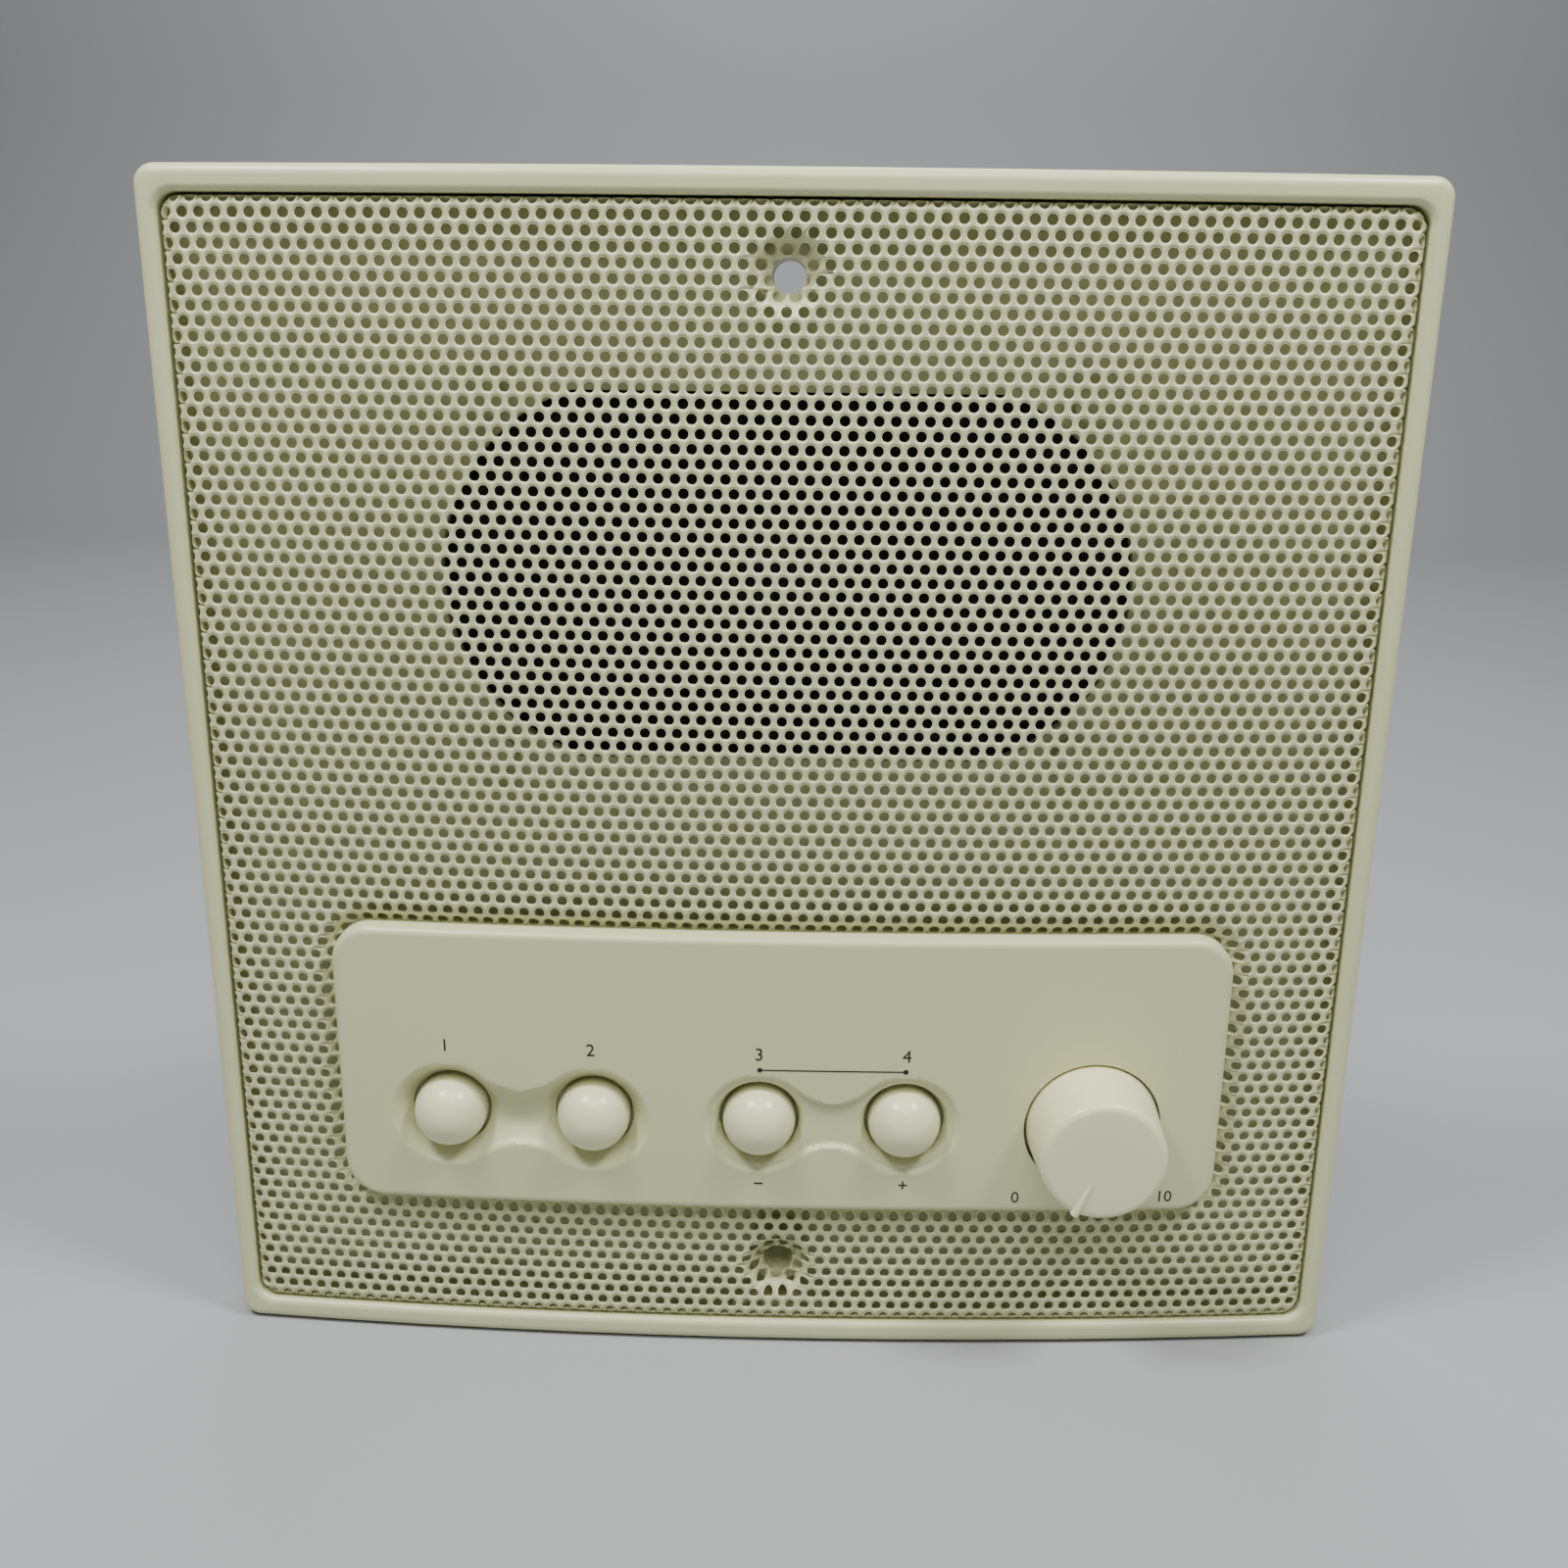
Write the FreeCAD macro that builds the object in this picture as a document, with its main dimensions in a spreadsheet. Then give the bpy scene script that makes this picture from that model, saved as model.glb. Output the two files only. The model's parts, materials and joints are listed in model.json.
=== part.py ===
"""Shower speaker: a wall speaker with a bowed front, a perforated steel grille, a moulded control panel with
four ball push buttons and a volume knob, and an oval loudspeaker behind the baffle.

Millimetres. +Z is up and the front faces -Y. y = 0 is the wall surface, and the origin is midway between the
two mounting screws. What has y > 0 goes into the wall opening.
"""
import FreeCAD, Part
import math
import os

import Sketcher
from FreeCAD import Rotation, Vector

DIMENSIONS = {
    # front frame
    "frame_width": 241.0,
    "frame_height": 243.0,
    "frame_corner": 4.0,
    "frame_depth": 22.0,
    "frame_wall": 2.6,
    "lip_width": 4.0,
    "lip_height": 5.0,
    "lip_round": 2.2,
    "lip_inner_round": 1.4,
    "bow_radius": 1320.0,
    "baffle_depth": 10.0,
    "baffle_thickness": 2.5,
    # mounting screws
    "screw_inset": 18.5,
    "screw_hole": 6.5,
    "post_diameter": 12.0,
    "dimple_width": 15.0,
    "dimple_floor": 9.4,
    "dimple_depth": 3.3,
    # grille
    "grille_gap": 0.5,
    "grille_step": 1.0,
    "grille_corner": 3.8,
    "grille_sheet": 1.0,
    "fold_radius": 2.0,
    "recess_depth": 2.0,
    "recess_margin": 2.5,
    "seat_width": 2.6,
    # control panel
    "panel_width": 186.4,
    "panel_height": 62.2,
    "panel_corner": 8.0,
    "panel_inset": 34.2,
    "panel_rise": 3.0,
    "panel_wall": 2.0,
    "panel_round": 1.5,
    "panel_boss_inset_across": 8.2,
    "panel_boss_inset_up": 8.1,
    "boss_diameter": 6.4,
    "panel_screw_diameter": 2.6,
    # push buttons
    "control_drop": 10.8,
    "talk_centre": -54.75,
    "music_centre": 11.1,
    "button_spacing": 30.7,
    "ball_diameter": 15.4,
    "ball_sink": 3.0,
    "ball_gap": 0.5,
    "well_radius": 11.4,
    "well_floor": 2.0,
    "waist_height": 11.6,
    "waist_depth": 2.4,
    "flange_overlap": 2.0,
    "flange_thickness": 1.2,
    "moving_gap": 0.3,
    "button_travel": 1.2,
    "stem_diameter": 6.4,
    # switches
    "switch_width": 8.0,
    "switch_height": 4.0,
    "switch_clearance": 0.4,
    "plunger_diameter": 3.5,
    "plunger_length": 3.6,
    "running_clearance": 0.05,
    # volume control
    "knob_centre": 66.0,
    "knob_base": 28.0,
    "knob_front": 26.0,
    "knob_rise": 15.0,
    "knob_sink": 2.0,
    "knob_round": 3.0,
    "knob_wall": 2.2,
    "knob_crown": 3.4,
    "hub_diameter": 11.0,
    "pointer_length": 8.0,
    "pointer_width": 1.5,
    "pointer_rise": 0.8,
    "pointer_angle": 25.0,
    "knob_well_depth": 3.0,
    "knob_well_floor": 1.6,
    "knob_gap": 0.5,
    "shaft_diameter": 6.0,
    "bushing_diameter": 8.0,
    "pot_width": 17.0,
    "washer_diameter": 13.0,
    "washer_thickness": 0.5,
    "nut_across": 11.0,
    "nut_thickness": 2.0,
    # circuit board
    "board_width": 156.0,
    "board_height": 44.0,
    "board_depth": 7.6,
    "board_thickness": 1.6,
    "board_gap": 2.0,
    "board_screw_diameter": 2.2,
    "board_fixing_inset": 4.0,
    "board_foot_inset": 6.2,
    "boss_clearance": 5.5,
    "chip_centre": -38.0,
    "chip_width": 20.0,
    "chip_height": 8.0,
    "chip_thickness": 3.5,
    "sink_width": 26.0,
    "sink_height": 22.0,
    "sink_base": 2.0,
    "sink_depth": 10.0,
    "fin_pitch": 4.0,
    "fin_thickness": 1.4,
    "terminal_centre": 28.0,
    "terminal_pitch": 5.0,
    "terminal_height": 9.0,
    "terminal_depth": 10.0,
    # loudspeaker
    "opening_width": 137.0,
    "opening_height": 73.0,
    "opening_side_radius": 38.25,
    "speaker_drop": 76.0,
    "flange_width": 152.0,
    "flange_height": 96.0,
    "flange_corner": 40.0,
    "speaker_screw_across": 116.0,
    "speaker_screw_up": 70.0,
    "speaker_screw_diameter": 2.9,
    "speaker_boss_radius": 3.8,
    "speaker_boss_length": 5.0,
    "gasket_thickness": 1.2,
    "surround_thickness": 0.5,
    "basket_sheet": 0.8,
    "basket_depth": 25.8,
    "basket_width": 136.0,
    "basket_height": 80.0,
    "basket_corner": 38.0,
    "basket_rear": 68.0,
    "cone_width": 120.0,
    "cone_height": 64.0,
    "cone_depth": 19.8,
    "cone_sheet": 0.6,
    "coil_radius": 12.5,
    "coil_wall": 0.7,
    "coil_length": 15.0,
    "coil_gap": 0.7,
    "plate_radius": 28.0,
    "plate_thickness": 4.0,
    "magnet_radius": 30.0,
    "magnet_hole": 15.5,
    "magnet_thickness": 12.0,
    "lead_diameter": 1.6,
}

# Places from front to back, as expressions on the sheet's cells. The bowed surfaces share one axis, which
# stands BOW_AXIS behind the wall surface, so the lip, the grille and the panel are parallel.
BOW_AXIS = "(size.bow_radius - size.frame_depth)"
LIP_FRONT = "(-size.frame_depth)"
GRILLE_FRONT = "(size.grille_step - size.frame_depth)"
RECESS_FLOOR = f"({GRILLE_FRONT} + size.recess_depth)"
PANEL_FRONT = f"({GRILLE_FRONT} - size.panel_rise)"
BAFFLE_FRONT = "(-size.baffle_depth)"
BAFFLE_REAR = "(size.baffle_thickness - size.baffle_depth)"
BOARD_FRONT = "(-size.board_depth)"
BOARD_REAR = "(size.board_thickness - size.board_depth)"
SWITCH_FRONT = f"({BOARD_FRONT} - size.switch_height)"
STEM_REAR = f"({SWITCH_FRONT} - size.button_travel - size.switch_clearance)"
FAR_FRONT = "(-size.frame_depth - 30)"
FAR_REAR = "(size.basket_depth + 60)"

# Heights. The panel stands on the frame's lower edge, and the speaker hangs from its upper edge.
PANEL_CENTRE = "(size.panel_inset + size.panel_height / 2 - size.frame_height / 2)"
CONTROL_HEIGHT = f"({PANEL_CENTRE} - size.control_drop)"
SPEAKER_CENTRE = "(size.frame_height / 2 - size.speaker_drop)"

doc = FreeCAD.newDocument("ShowerSpeaker")
size = doc.addObject("Spreadsheet::Sheet", "size")
for row, (alias, amount) in enumerate(DIMENSIONS.items(), 1):
    size.set(f"A{row}", alias)
    size.set(f"B{row}", str(amount))
    size.setAlias(f"B{row}", alias)
doc.recompute()

nodes = {}


# ---------------------------------------------------------------- expressions and places

def number(expression):
    """What an expression comes to with the sheet's present values."""
    return float(size.evalExpression(str(expression)))


def bind(item, name, expression):
    """Tie a property to an expression on the sheet."""
    item.setExpression(name, str(expression))


def place(item, x=0, y=0, z=0):
    """Tie where an object stands to three expressions, and return it."""
    for axis, expression in zip("xyz", (x, y, z)):
        bind(item, f".Placement.Base.{axis}", expression)
    return item


def surface(front, x):
    """The y at distance x from the middle of the bowed surface whose foremost line is at y = front."""
    return f"({BOW_AXIS} - sqrt(({BOW_AXIS} - {front}) ^ 2 - ({x}) ^ 2))"


def node(name, item):
    """Name a finished sub-part, so that it is written to its own file."""
    item.Label = name
    nodes[name] = item
    return item


# ---------------------------------------------------------------- sketches

def sketch_on(body, role, offset="0"):
    """A sketch on one of the body's origin planes, moved along that plane's normal."""
    sketch = body.newObject("Sketcher::SketchObject", f"{body.Name}_sketch")
    support = next(plane for plane in body.Origin.OriginFeatures if plane.Role == role)
    sketch.AttachmentSupport = [(support, "")]
    sketch.MapMode = "FlatFace"
    bind(sketch, ".AttachmentOffset.Base.z", offset)
    return sketch


def hold(sketch, kind, expression, *where):
    """Add a dimension to a sketch and tie it to an expression."""
    index = sketch.addConstraint(Sketcher.Constraint(kind, *where, number(expression)))
    bind(sketch, f"Constraints[{index}]", expression)


def hold_point(sketch, edge, vertex, across, up):
    """Hold one end or centre of an edge at two expressions, measured from the sketch's origin."""
    hold(sketch, "DistanceX", across, -1, 1, edge, vertex)
    hold(sketch, "DistanceY", up, -1, 1, edge, vertex)


def draw_polygon(sketch, corners):
    """A closed outline of straight edges, each corner given as two expressions."""
    first = sketch.GeometryCount
    points = [Vector(number(across), number(up), 0) for across, up in corners]
    for start, end in zip(points, points[1:] + points[:1]):
        sketch.addGeometry(Part.LineSegment(start, end))
    for index, (across, up) in enumerate(corners):
        following = first + (index + 1) % len(corners)
        sketch.addConstraint(Sketcher.Constraint("Coincident", first + index, 2, following, 1))
        hold_point(sketch, first + index, 1, across, up)


def draw_circle(sketch, across, up, radius):
    """A circle with its centre and radius tied to the sheet."""
    middle = Vector(number(across), number(up), 0)
    index = sketch.addGeometry(Part.Circle(middle, Vector(0, 0, 1), number(radius)))
    hold_point(sketch, index, 3, across, up)
    hold(sketch, "Radius", radius, index)


def draw_rounded_rectangle(sketch, across, up, width, height, corner):
    """A rectangle centred on two expressions, with four tangent corner arcs."""
    middle = Vector(number(across), number(up), 0)
    half = Vector(number(width) / 2, number(height) / 2, 0)
    radius = number(corner)
    turns = ((1, -1), (1, 1), (-1, 1), (-1, -1))
    centres = [middle + Vector(sx * (half.x - radius), sy * (half.y - radius), 0) for sx, sy in turns]
    normals = [Vector(0, -1, 0), Vector(1, 0, 0), Vector(0, 1, 0), Vector(-1, 0, 0)]
    first = sketch.GeometryCount
    for side in range(4):
        out = normals[side] * radius
        sketch.addGeometry(Part.LineSegment(centres[side - 1] + out, centres[side] + out))
        circle = Part.Circle(centres[side], Vector(0, 0, 1), radius)
        start = math.radians(90 * (side - 1))
        sketch.addGeometry(Part.ArcOfCircle(circle, start, start + math.pi / 2))
    for side in range(4):
        line = first + 2 * side
        following = first + 2 * ((side + 1) % 4)
        sketch.addConstraint(Sketcher.Constraint("Tangent", line, 2, line + 1, 1))
        sketch.addConstraint(Sketcher.Constraint("Tangent", line + 1, 2, following, 1))
        level = "Vertical" if side % 2 else "Horizontal"
        sketch.addConstraint(Sketcher.Constraint(level, line))
    for side in range(1, 4):
        sketch.addConstraint(Sketcher.Constraint("Equal", first + 1, first + 1 + 2 * side))
    hold(sketch, "Radius", corner, first + 1)
    hold(sketch, "DistanceX", width, first + 6, 1, first + 2, 1)
    hold(sketch, "DistanceY", height, first, 1, first + 4, 1)
    hold(sketch, "DistanceX", f"{across} - ({width}) / 2", -1, 1, first + 6, 1)
    hold(sketch, "DistanceY", f"{up} - ({height}) / 2", -1, 1, first, 1)


# ---------------------------------------------------------------- features along Y

def pad(body, front, rear, draw):
    """Pad what draw puts in an x and z sketch, from y = rear forward to y = front."""
    sketch = sketch_on(body, "XZ_Plane", f"-({rear})")
    draw(sketch)
    feature = body.newObject("PartDesign::Pad", f"{body.Name}_pad")
    feature.Profile = sketch
    bind(feature, "Length", f"({rear}) - ({front})")
    doc.recompute()
    return feature


def pocket(body, front, rear, draw):
    """Cut what draw puts in an x and z sketch out of a body, from y = front back to y = rear."""
    before = body.Shape.Volume
    sketch = sketch_on(body, "XZ_Plane", f"-({front})")
    draw(sketch)
    feature = body.newObject("PartDesign::Pocket", f"{body.Name}_pocket")
    feature.Profile = sketch
    bind(feature, "Length", f"({rear}) - ({front})")
    doc.recompute()
    if body.Shape.Volume >= before:
        raise RuntimeError(f"a pocket in {body.Name} cut nothing")
    return feature


def loft(body, kind, sections):
    """Loft through rounded rectangles, each given as (y, width, height, corner) on the speaker's axis."""
    sketches = []
    for y, width, height, corner in sections:
        sketch = sketch_on(body, "XZ_Plane", f"-({y})")
        draw_rounded_rectangle(sketch, 0, SPEAKER_CENTRE, width, height, corner)
        sketches.append(sketch)
    feature = body.newObject(f"PartDesign::{kind}Loft", f"{body.Name}_loft")
    feature.Profile = sketches[0]
    feature.Sections = sketches[1:]
    feature.Ruled = True
    doc.recompute()
    return feature


def new_body(name):
    """An empty PartDesign body."""
    return doc.addObject("PartDesign::Body", name)


def block(name, x, z, width, height, corner, front, rear):
    """A block with rounded corners, centred on x and z, from y = front back to y = rear."""
    body = new_body(name)
    pad(body, front, rear, lambda sketch: draw_rounded_rectangle(sketch, x, z, width, height, corner))
    return body


def turned(name, profile, x=0, z=0):
    """Turn a profile of (radius, y) corners about an axis along Y through x and z."""
    body = new_body(name)
    sketch = sketch_on(body, "XY_Plane")
    draw_polygon(sketch, profile)
    feature = body.newObject("PartDesign::Revolution", f"{name}_turned")
    feature.Profile = sketch
    feature.ReferenceAxis = (sketch, ["V_Axis"])
    feature.Angle = 360
    doc.recompute()
    return place(body, x, 0, z)


def ring(name, outer, inner, front, rear, x=0, z=0):
    """A plain ring about an axis along Y."""
    return turned(name, [(inner, front), (outer, front), (outer, rear), (inner, rear)], x, z)


# ---------------------------------------------------------------- primitives and booleans

def box(name, x, z, width, height, front, rear):
    """A box centred on x and z, from y = front back to y = rear."""
    item = doc.addObject("Part::Box", name)
    bind(item, "Length", width)
    bind(item, "Width", f"({rear}) - ({front})")
    bind(item, "Height", height)
    return place(item, f"{x} - ({width}) / 2", front, f"{z} - ({height}) / 2")


def rod(name, x, z, radius, front, rear):
    """A cylinder along Y."""
    item = doc.addObject("Part::Cylinder", name)
    item.Placement.Rotation = Rotation(Vector(1, 0, 0), -90)
    bind(item, "Radius", radius)
    bind(item, "Height", f"({rear}) - ({front})")
    return place(item, x, front, z)


def bow(name, front):
    """A very large upright cylinder whose surface is the bowed front at y = front."""
    item = doc.addObject("Part::Cylinder", name)
    bind(item, "Radius", f"{BOW_AXIS} - {front}")
    bind(item, "Height", "2 * size.frame_height")
    return place(item, 0, BOW_AXIS, "-size.frame_height")


def joined(name, pieces):
    """Several objects as one solid."""
    item = doc.addObject("Part::MultiFuse", name)
    item.Shapes = pieces
    doc.recompute()
    return item


def less(name, base, tools):
    """The base without the tools."""
    item = doc.addObject("Part::Cut", name)
    item.Base = base
    item.Tool = tools[0] if len(tools) == 1 else joined(f"{name}_tools", tools)
    doc.recompute()
    return item


def shared(name, first, second):
    """What two objects have in common."""
    item = doc.addObject("Part::Common", name)
    item.Base = first
    item.Tool = second
    doc.recompute()
    return item


def rounded(name, base, radius, chosen):
    """Round the edges that the test picks."""
    item = doc.addObject("Part::Fillet", name)
    item.Base = base
    amount = number(radius)
    item.Edges = [(index, amount, amount) for index, edge in enumerate(base.Shape.Edges, 1) if chosen(edge)]
    doc.recompute()
    return item


def group(name, pieces):
    """Separate solids kept together in one sub-part."""
    item = doc.addObject("Part::Compound", name)
    item.Links = pieces
    doc.recompute()
    return item


def on_bow(front, in_across="0", in_up="0"):
    """A test for edges that lie on the bowed surface at y = front, and inside the frame's sides by nearly
    in_across and in_up where they are given."""
    axis = number(BOW_AXIS)
    radius = axis - number(front)
    limits = (number("size.frame_width / 2") - 0.9 * number(in_across),
              number("size.frame_height / 2") - 0.9 * number(in_up))

    def lies_on(edge):
        points = edge.discretize(5)
        inside = all(abs(p.x) <= limits[0] and abs(p.z) <= limits[1] for p in points)
        return inside and all(abs(math.hypot(p.x, p.y - axis) - radius) < 0.001 for p in points)

    return lies_on


def level_with(y):
    """A test for edges that lie flat at one y."""
    depth = number(y)
    return lambda edge: all(abs(p.y - depth) < 0.001 for p in edge.discretize(5))


def screw(name, x, z, diameter, head_front, head_rear, tip, socket):
    """A pan-head screw along Y. Its head is between head_front and head_rear, and its point is at tip."""
    shank = f"{diameter} / 2"
    head = f"{diameter} * 0.95"
    point = f"{tip} + {diameter} / 2"
    rim = f"{head_rear} - {diameter} * 0.2"
    profile = [(0, tip), (shank, point), (shank, head_front), (head, head_front), (head, rim),
               (f"{diameter} * 0.7", head_rear), (0, head_rear)]
    blank = turned(f"{name}_blank", profile, x, z)
    slots = [box(f"{name}_slot_{width}", x, z, f"{diameter} * {width}", f"{diameter} * {height}",
                 f"{head_rear} - {diameter} * {socket}", f"{head_rear} + 1")
             for width, height in ((1.0, 0.25), (0.25, 1.0))]
    return less(name, blank, slots)


# ---------------------------------------------------------------- where the controls and fixings are

BUTTONS = {
    "talk_button_left": "(size.talk_centre - size.button_spacing / 2)",
    "talk_button_right": "(size.talk_centre + size.button_spacing / 2)",
    "music_button_left": "(size.music_centre - size.button_spacing / 2)",
    "music_button_right": "(size.music_centre + size.button_spacing / 2)",
}
PAIRS = {"talk": "size.talk_centre", "music": "size.music_centre"}
SIDES = ((-1, -1), (1, -1), (1, 1), (-1, 1))
SCREW_POSTS = [f"({side} * (size.frame_height / 2 - size.screw_inset))" for side in (-1, 1)]
PANEL_FIXINGS = [
    (f"({sx} * (size.panel_width / 2 - size.panel_boss_inset_across))",
     f"({PANEL_CENTRE} + {sz} * (size.panel_height / 2 - size.panel_boss_inset_up))")
    for sx, sz in SIDES
]
BOARD_EDGE = "(size.board_width / 2 - size.board_fixing_inset)"
BOARD_TOP = f"({PANEL_CENTRE} + size.board_height / 2 - size.board_fixing_inset)"
BOARD_FOOT = f"({PANEL_CENTRE} - size.board_height / 2 + size.board_foot_inset)"
BETWEEN_PAIRS = "((size.talk_centre + size.music_centre) / 2)"
BESIDE_KNOB = "(size.knob_centre - size.knob_base / 2 - size.boss_clearance)"
BOARD_FIXINGS = [
    (f"(-{BOARD_EDGE})", BOARD_TOP),
    (BOARD_EDGE, BOARD_TOP),
    (BETWEEN_PAIRS, BOARD_FOOT),
    (BESIDE_KNOB, BOARD_FOOT),
]
SPEAKER_FIXINGS = [
    (f"({sx} * size.speaker_screw_across / 2)", f"({SPEAKER_CENTRE} + {sz} * size.speaker_screw_up / 2)")
    for sx, sz in SIDES
]
SPEAKER_BOSS_FRONT = f"({BAFFLE_FRONT} - size.speaker_boss_length)"
SPEAKER_SCREW_HOLE = "size.speaker_screw_diameter / 2 + 0.3"
GASKET_FRONT = BAFFLE_REAR
SURROUND_FRONT = f"({GASKET_FRONT} + size.gasket_thickness)"
FLANGE_FRONT = f"({SURROUND_FRONT} + size.surround_thickness)"
FLANGE_REAR = f"({FLANGE_FRONT} + size.basket_sheet)"
BASKET_REAR = f"({FLANGE_FRONT} + size.basket_depth)"
PLATE_FRONT = f"({BASKET_REAR} + size.basket_sheet)"
MAGNET_FRONT = f"({PLATE_FRONT} + size.plate_thickness)"
MAGNET_REAR = f"({MAGNET_FRONT} + size.magnet_thickness)"
SPEAKER_REAR = f"({MAGNET_REAR} + size.plate_thickness)"
CONE_REAR = f"({FLANGE_FRONT} + size.cone_depth)"
COIL_FRONT = f"({CONE_REAR} - 2)"
KNOB_FACE = surface(PANEL_FRONT, "size.knob_centre")
KNOB_FLOOR = f"({KNOB_FACE} + size.knob_well_depth)"
POT_FRONT = f"({KNOB_FLOOR} + size.knob_well_floor)"
KNOB_REAR = f"({KNOB_FACE} + size.knob_sink)"
KNOB_END = f"({KNOB_FACE} - size.knob_rise)"


# ---------------------------------------------------------------- front frame

def speaker_opening(sketch):
    """The opening's outline: two flats joined by two side arcs."""
    half_width = "(size.opening_width / 2)"
    half_height = "(size.opening_height / 2)"
    side = "size.opening_side_radius"
    centre_x = f"({half_width} - {side})"
    flat_end = f"({centre_x} + sqrt({side} ^ 2 - {half_height} ^ 2))"
    radius = number(side)
    end = Vector(number(flat_end), number(half_height), 0)
    turn = math.atan2(end.y, end.x - number(centre_x))
    middle = number(SPEAKER_CENTRE)
    up = Vector(0, middle, 0)
    sketch.addGeometry(Part.LineSegment(Vector(-end.x, -end.y, 0) + up, Vector(end.x, -end.y, 0) + up))
    right = Part.Circle(Vector(number(centre_x), middle, 0), Vector(0, 0, 1), radius)
    sketch.addGeometry(Part.ArcOfCircle(right, -turn, turn))
    sketch.addGeometry(Part.LineSegment(Vector(end.x, end.y, 0) + up, Vector(-end.x, end.y, 0) + up))
    left = Part.Circle(Vector(-number(centre_x), middle, 0), Vector(0, 0, 1), radius)
    sketch.addGeometry(Part.ArcOfCircle(left, math.pi - turn, math.pi + turn))
    for edge in range(4):
        sketch.addConstraint(Sketcher.Constraint("Coincident", edge, 2, (edge + 1) % 4, 1))
    for arc, sign in ((1, ""), (3, "-")):
        hold(sketch, "Radius", side, arc)
        hold_point(sketch, arc, 3, f"{sign}{centre_x}", SPEAKER_CENTRE)
    for line, sign in ((0, "-"), (2, "+")):
        sketch.addConstraint(Sketcher.Constraint("Horizontal", line))
        hold(sketch, "DistanceY", f"{SPEAKER_CENTRE} {sign} {half_height}", -1, 1, line, 1)


def make_front_frame():
    """The moulded frame: bowed lip, side walls, baffle, two screw posts and the speaker's screw bosses."""
    outside = block("frame_outside", 0, 0, "size.frame_width", "size.frame_height", "size.frame_corner",
                    FAR_FRONT, 0)
    bowed = shared("frame_bowed", outside, bow("frame_bow", LIP_FRONT))
    shell = rounded("frame_shell", bowed, "size.lip_round", on_bow(LIP_FRONT))
    front_pocket = block("frame_front_pocket", 0, 0, "size.frame_width - 2 * size.lip_width",
                         "size.frame_height - 2 * size.lip_height", "size.grille_corner",
                         FAR_FRONT, BAFFLE_FRONT)
    rear_pocket = block("frame_rear_pocket", 0, 0, "size.frame_width - 2 * size.frame_wall",
                        "size.frame_height - 2 * size.frame_wall", "size.frame_corner - size.frame_wall",
                        BAFFLE_REAR, 1)
    opening = new_body("frame_opening")
    pad(opening, f"{BAFFLE_FRONT} - 1", f"{BAFFLE_REAR} + 1", speaker_opening)
    window = block("frame_window", 0, PANEL_CENTRE, "size.board_width + 2 * size.board_gap",
                   "size.board_height + 2 * size.board_gap", 3, f"{BAFFLE_FRONT} - 1", f"{BAFFLE_REAR} + 1")
    moulded = less("frame_moulded", shell, [front_pocket, rear_pocket, opening, window])
    tray = rounded("frame_tray", moulded, "size.lip_inner_round", on_bow(LIP_FRONT, "size.lip_width", "size.lip_height"))
    post_front = f"({GRILLE_FRONT} + size.dimple_depth + size.grille_sheet)"
    solids = [tray]
    holes = []
    for index, z in enumerate(SCREW_POSTS):
        solids.append(rod(f"frame_post_{index}", 0, z, "size.post_diameter / 2", post_front, 0))
        holes.append(rod(f"frame_post_hole_{index}", 0, z, "size.screw_hole / 2", FAR_FRONT, 1))
    for index, (x, z) in enumerate(SPEAKER_FIXINGS):
        solids.append(rod(f"frame_boss_{index}", x, z, "size.speaker_boss_radius", SPEAKER_BOSS_FRONT,
                          f"{BAFFLE_FRONT} + 1"))
        holes.append(rod(f"frame_boss_hole_{index}", x, z, "size.speaker_screw_diameter / 2",
                         f"{SPEAKER_BOSS_FRONT} + 1.2", 0))
    for index, (x, z) in enumerate(PANEL_FIXINGS):
        holes.append(rod(f"frame_panel_hole_{index}", x, z, "size.panel_screw_diameter / 2 + 0.3",
                         f"{BAFFLE_FRONT} - 1", f"{BAFFLE_REAR} + 1"))
    return node("front_frame", less("front_frame", joined("frame_solids", solids), holes))


# ---------------------------------------------------------------- grille

def grille_form(name, inset):
    """The grille's outer form, or the same form set in by the sheet's thickness."""
    across = "size.frame_width - 2 * (size.lip_width + size.grille_gap)"
    up = "size.frame_height - 2 * (size.lip_height + size.grille_gap)"
    rear = BAFFLE_FRONT if inset == "0" else f"({BAFFLE_FRONT} + 1)"
    front = f"({GRILLE_FRONT} + {inset})"
    slab = block(f"{name}_slab", 0, 0, f"{across} - 2 * {inset}", f"{up} - 2 * {inset}",
                 f"size.grille_corner - {inset}", FAR_FRONT, rear)
    bowed = shared(f"{name}_bowed", slab, bow(f"{name}_bow", front))
    folded = rounded(f"{name}_folded", bowed, f"size.fold_radius - {inset}", on_bow(front))
    margin = f"2 * (size.recess_margin + {inset})"
    recess_block = block(f"{name}_recess_block", 0, PANEL_CENTRE, f"size.panel_width + {margin}",
                         f"size.panel_height + {margin}", f"size.panel_corner + size.recess_margin + {inset}",
                         FAR_FRONT, 0)
    recess = less(f"{name}_recess", recess_block, [bow(f"{name}_recess_bow", f"({RECESS_FLOOR} + {inset})")])
    tools = [recess]
    for index, z in enumerate(SCREW_POSTS):
        floor = f"({GRILLE_FRONT} + size.dimple_depth + {inset})"
        dimple = [(0, f"{GRILLE_FRONT} - 1"), (f"size.dimple_width / 2 + {inset}", f"{GRILLE_FRONT} - 1"),
                  (f"size.dimple_width / 2 + {inset}", GRILLE_FRONT),
                  (f"size.dimple_floor / 2 + {inset}", floor), (0, floor)]
        tools.append(turned(f"{name}_dimple_{index}", dimple, 0, z))
    return less(name, folded, tools)


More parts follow.
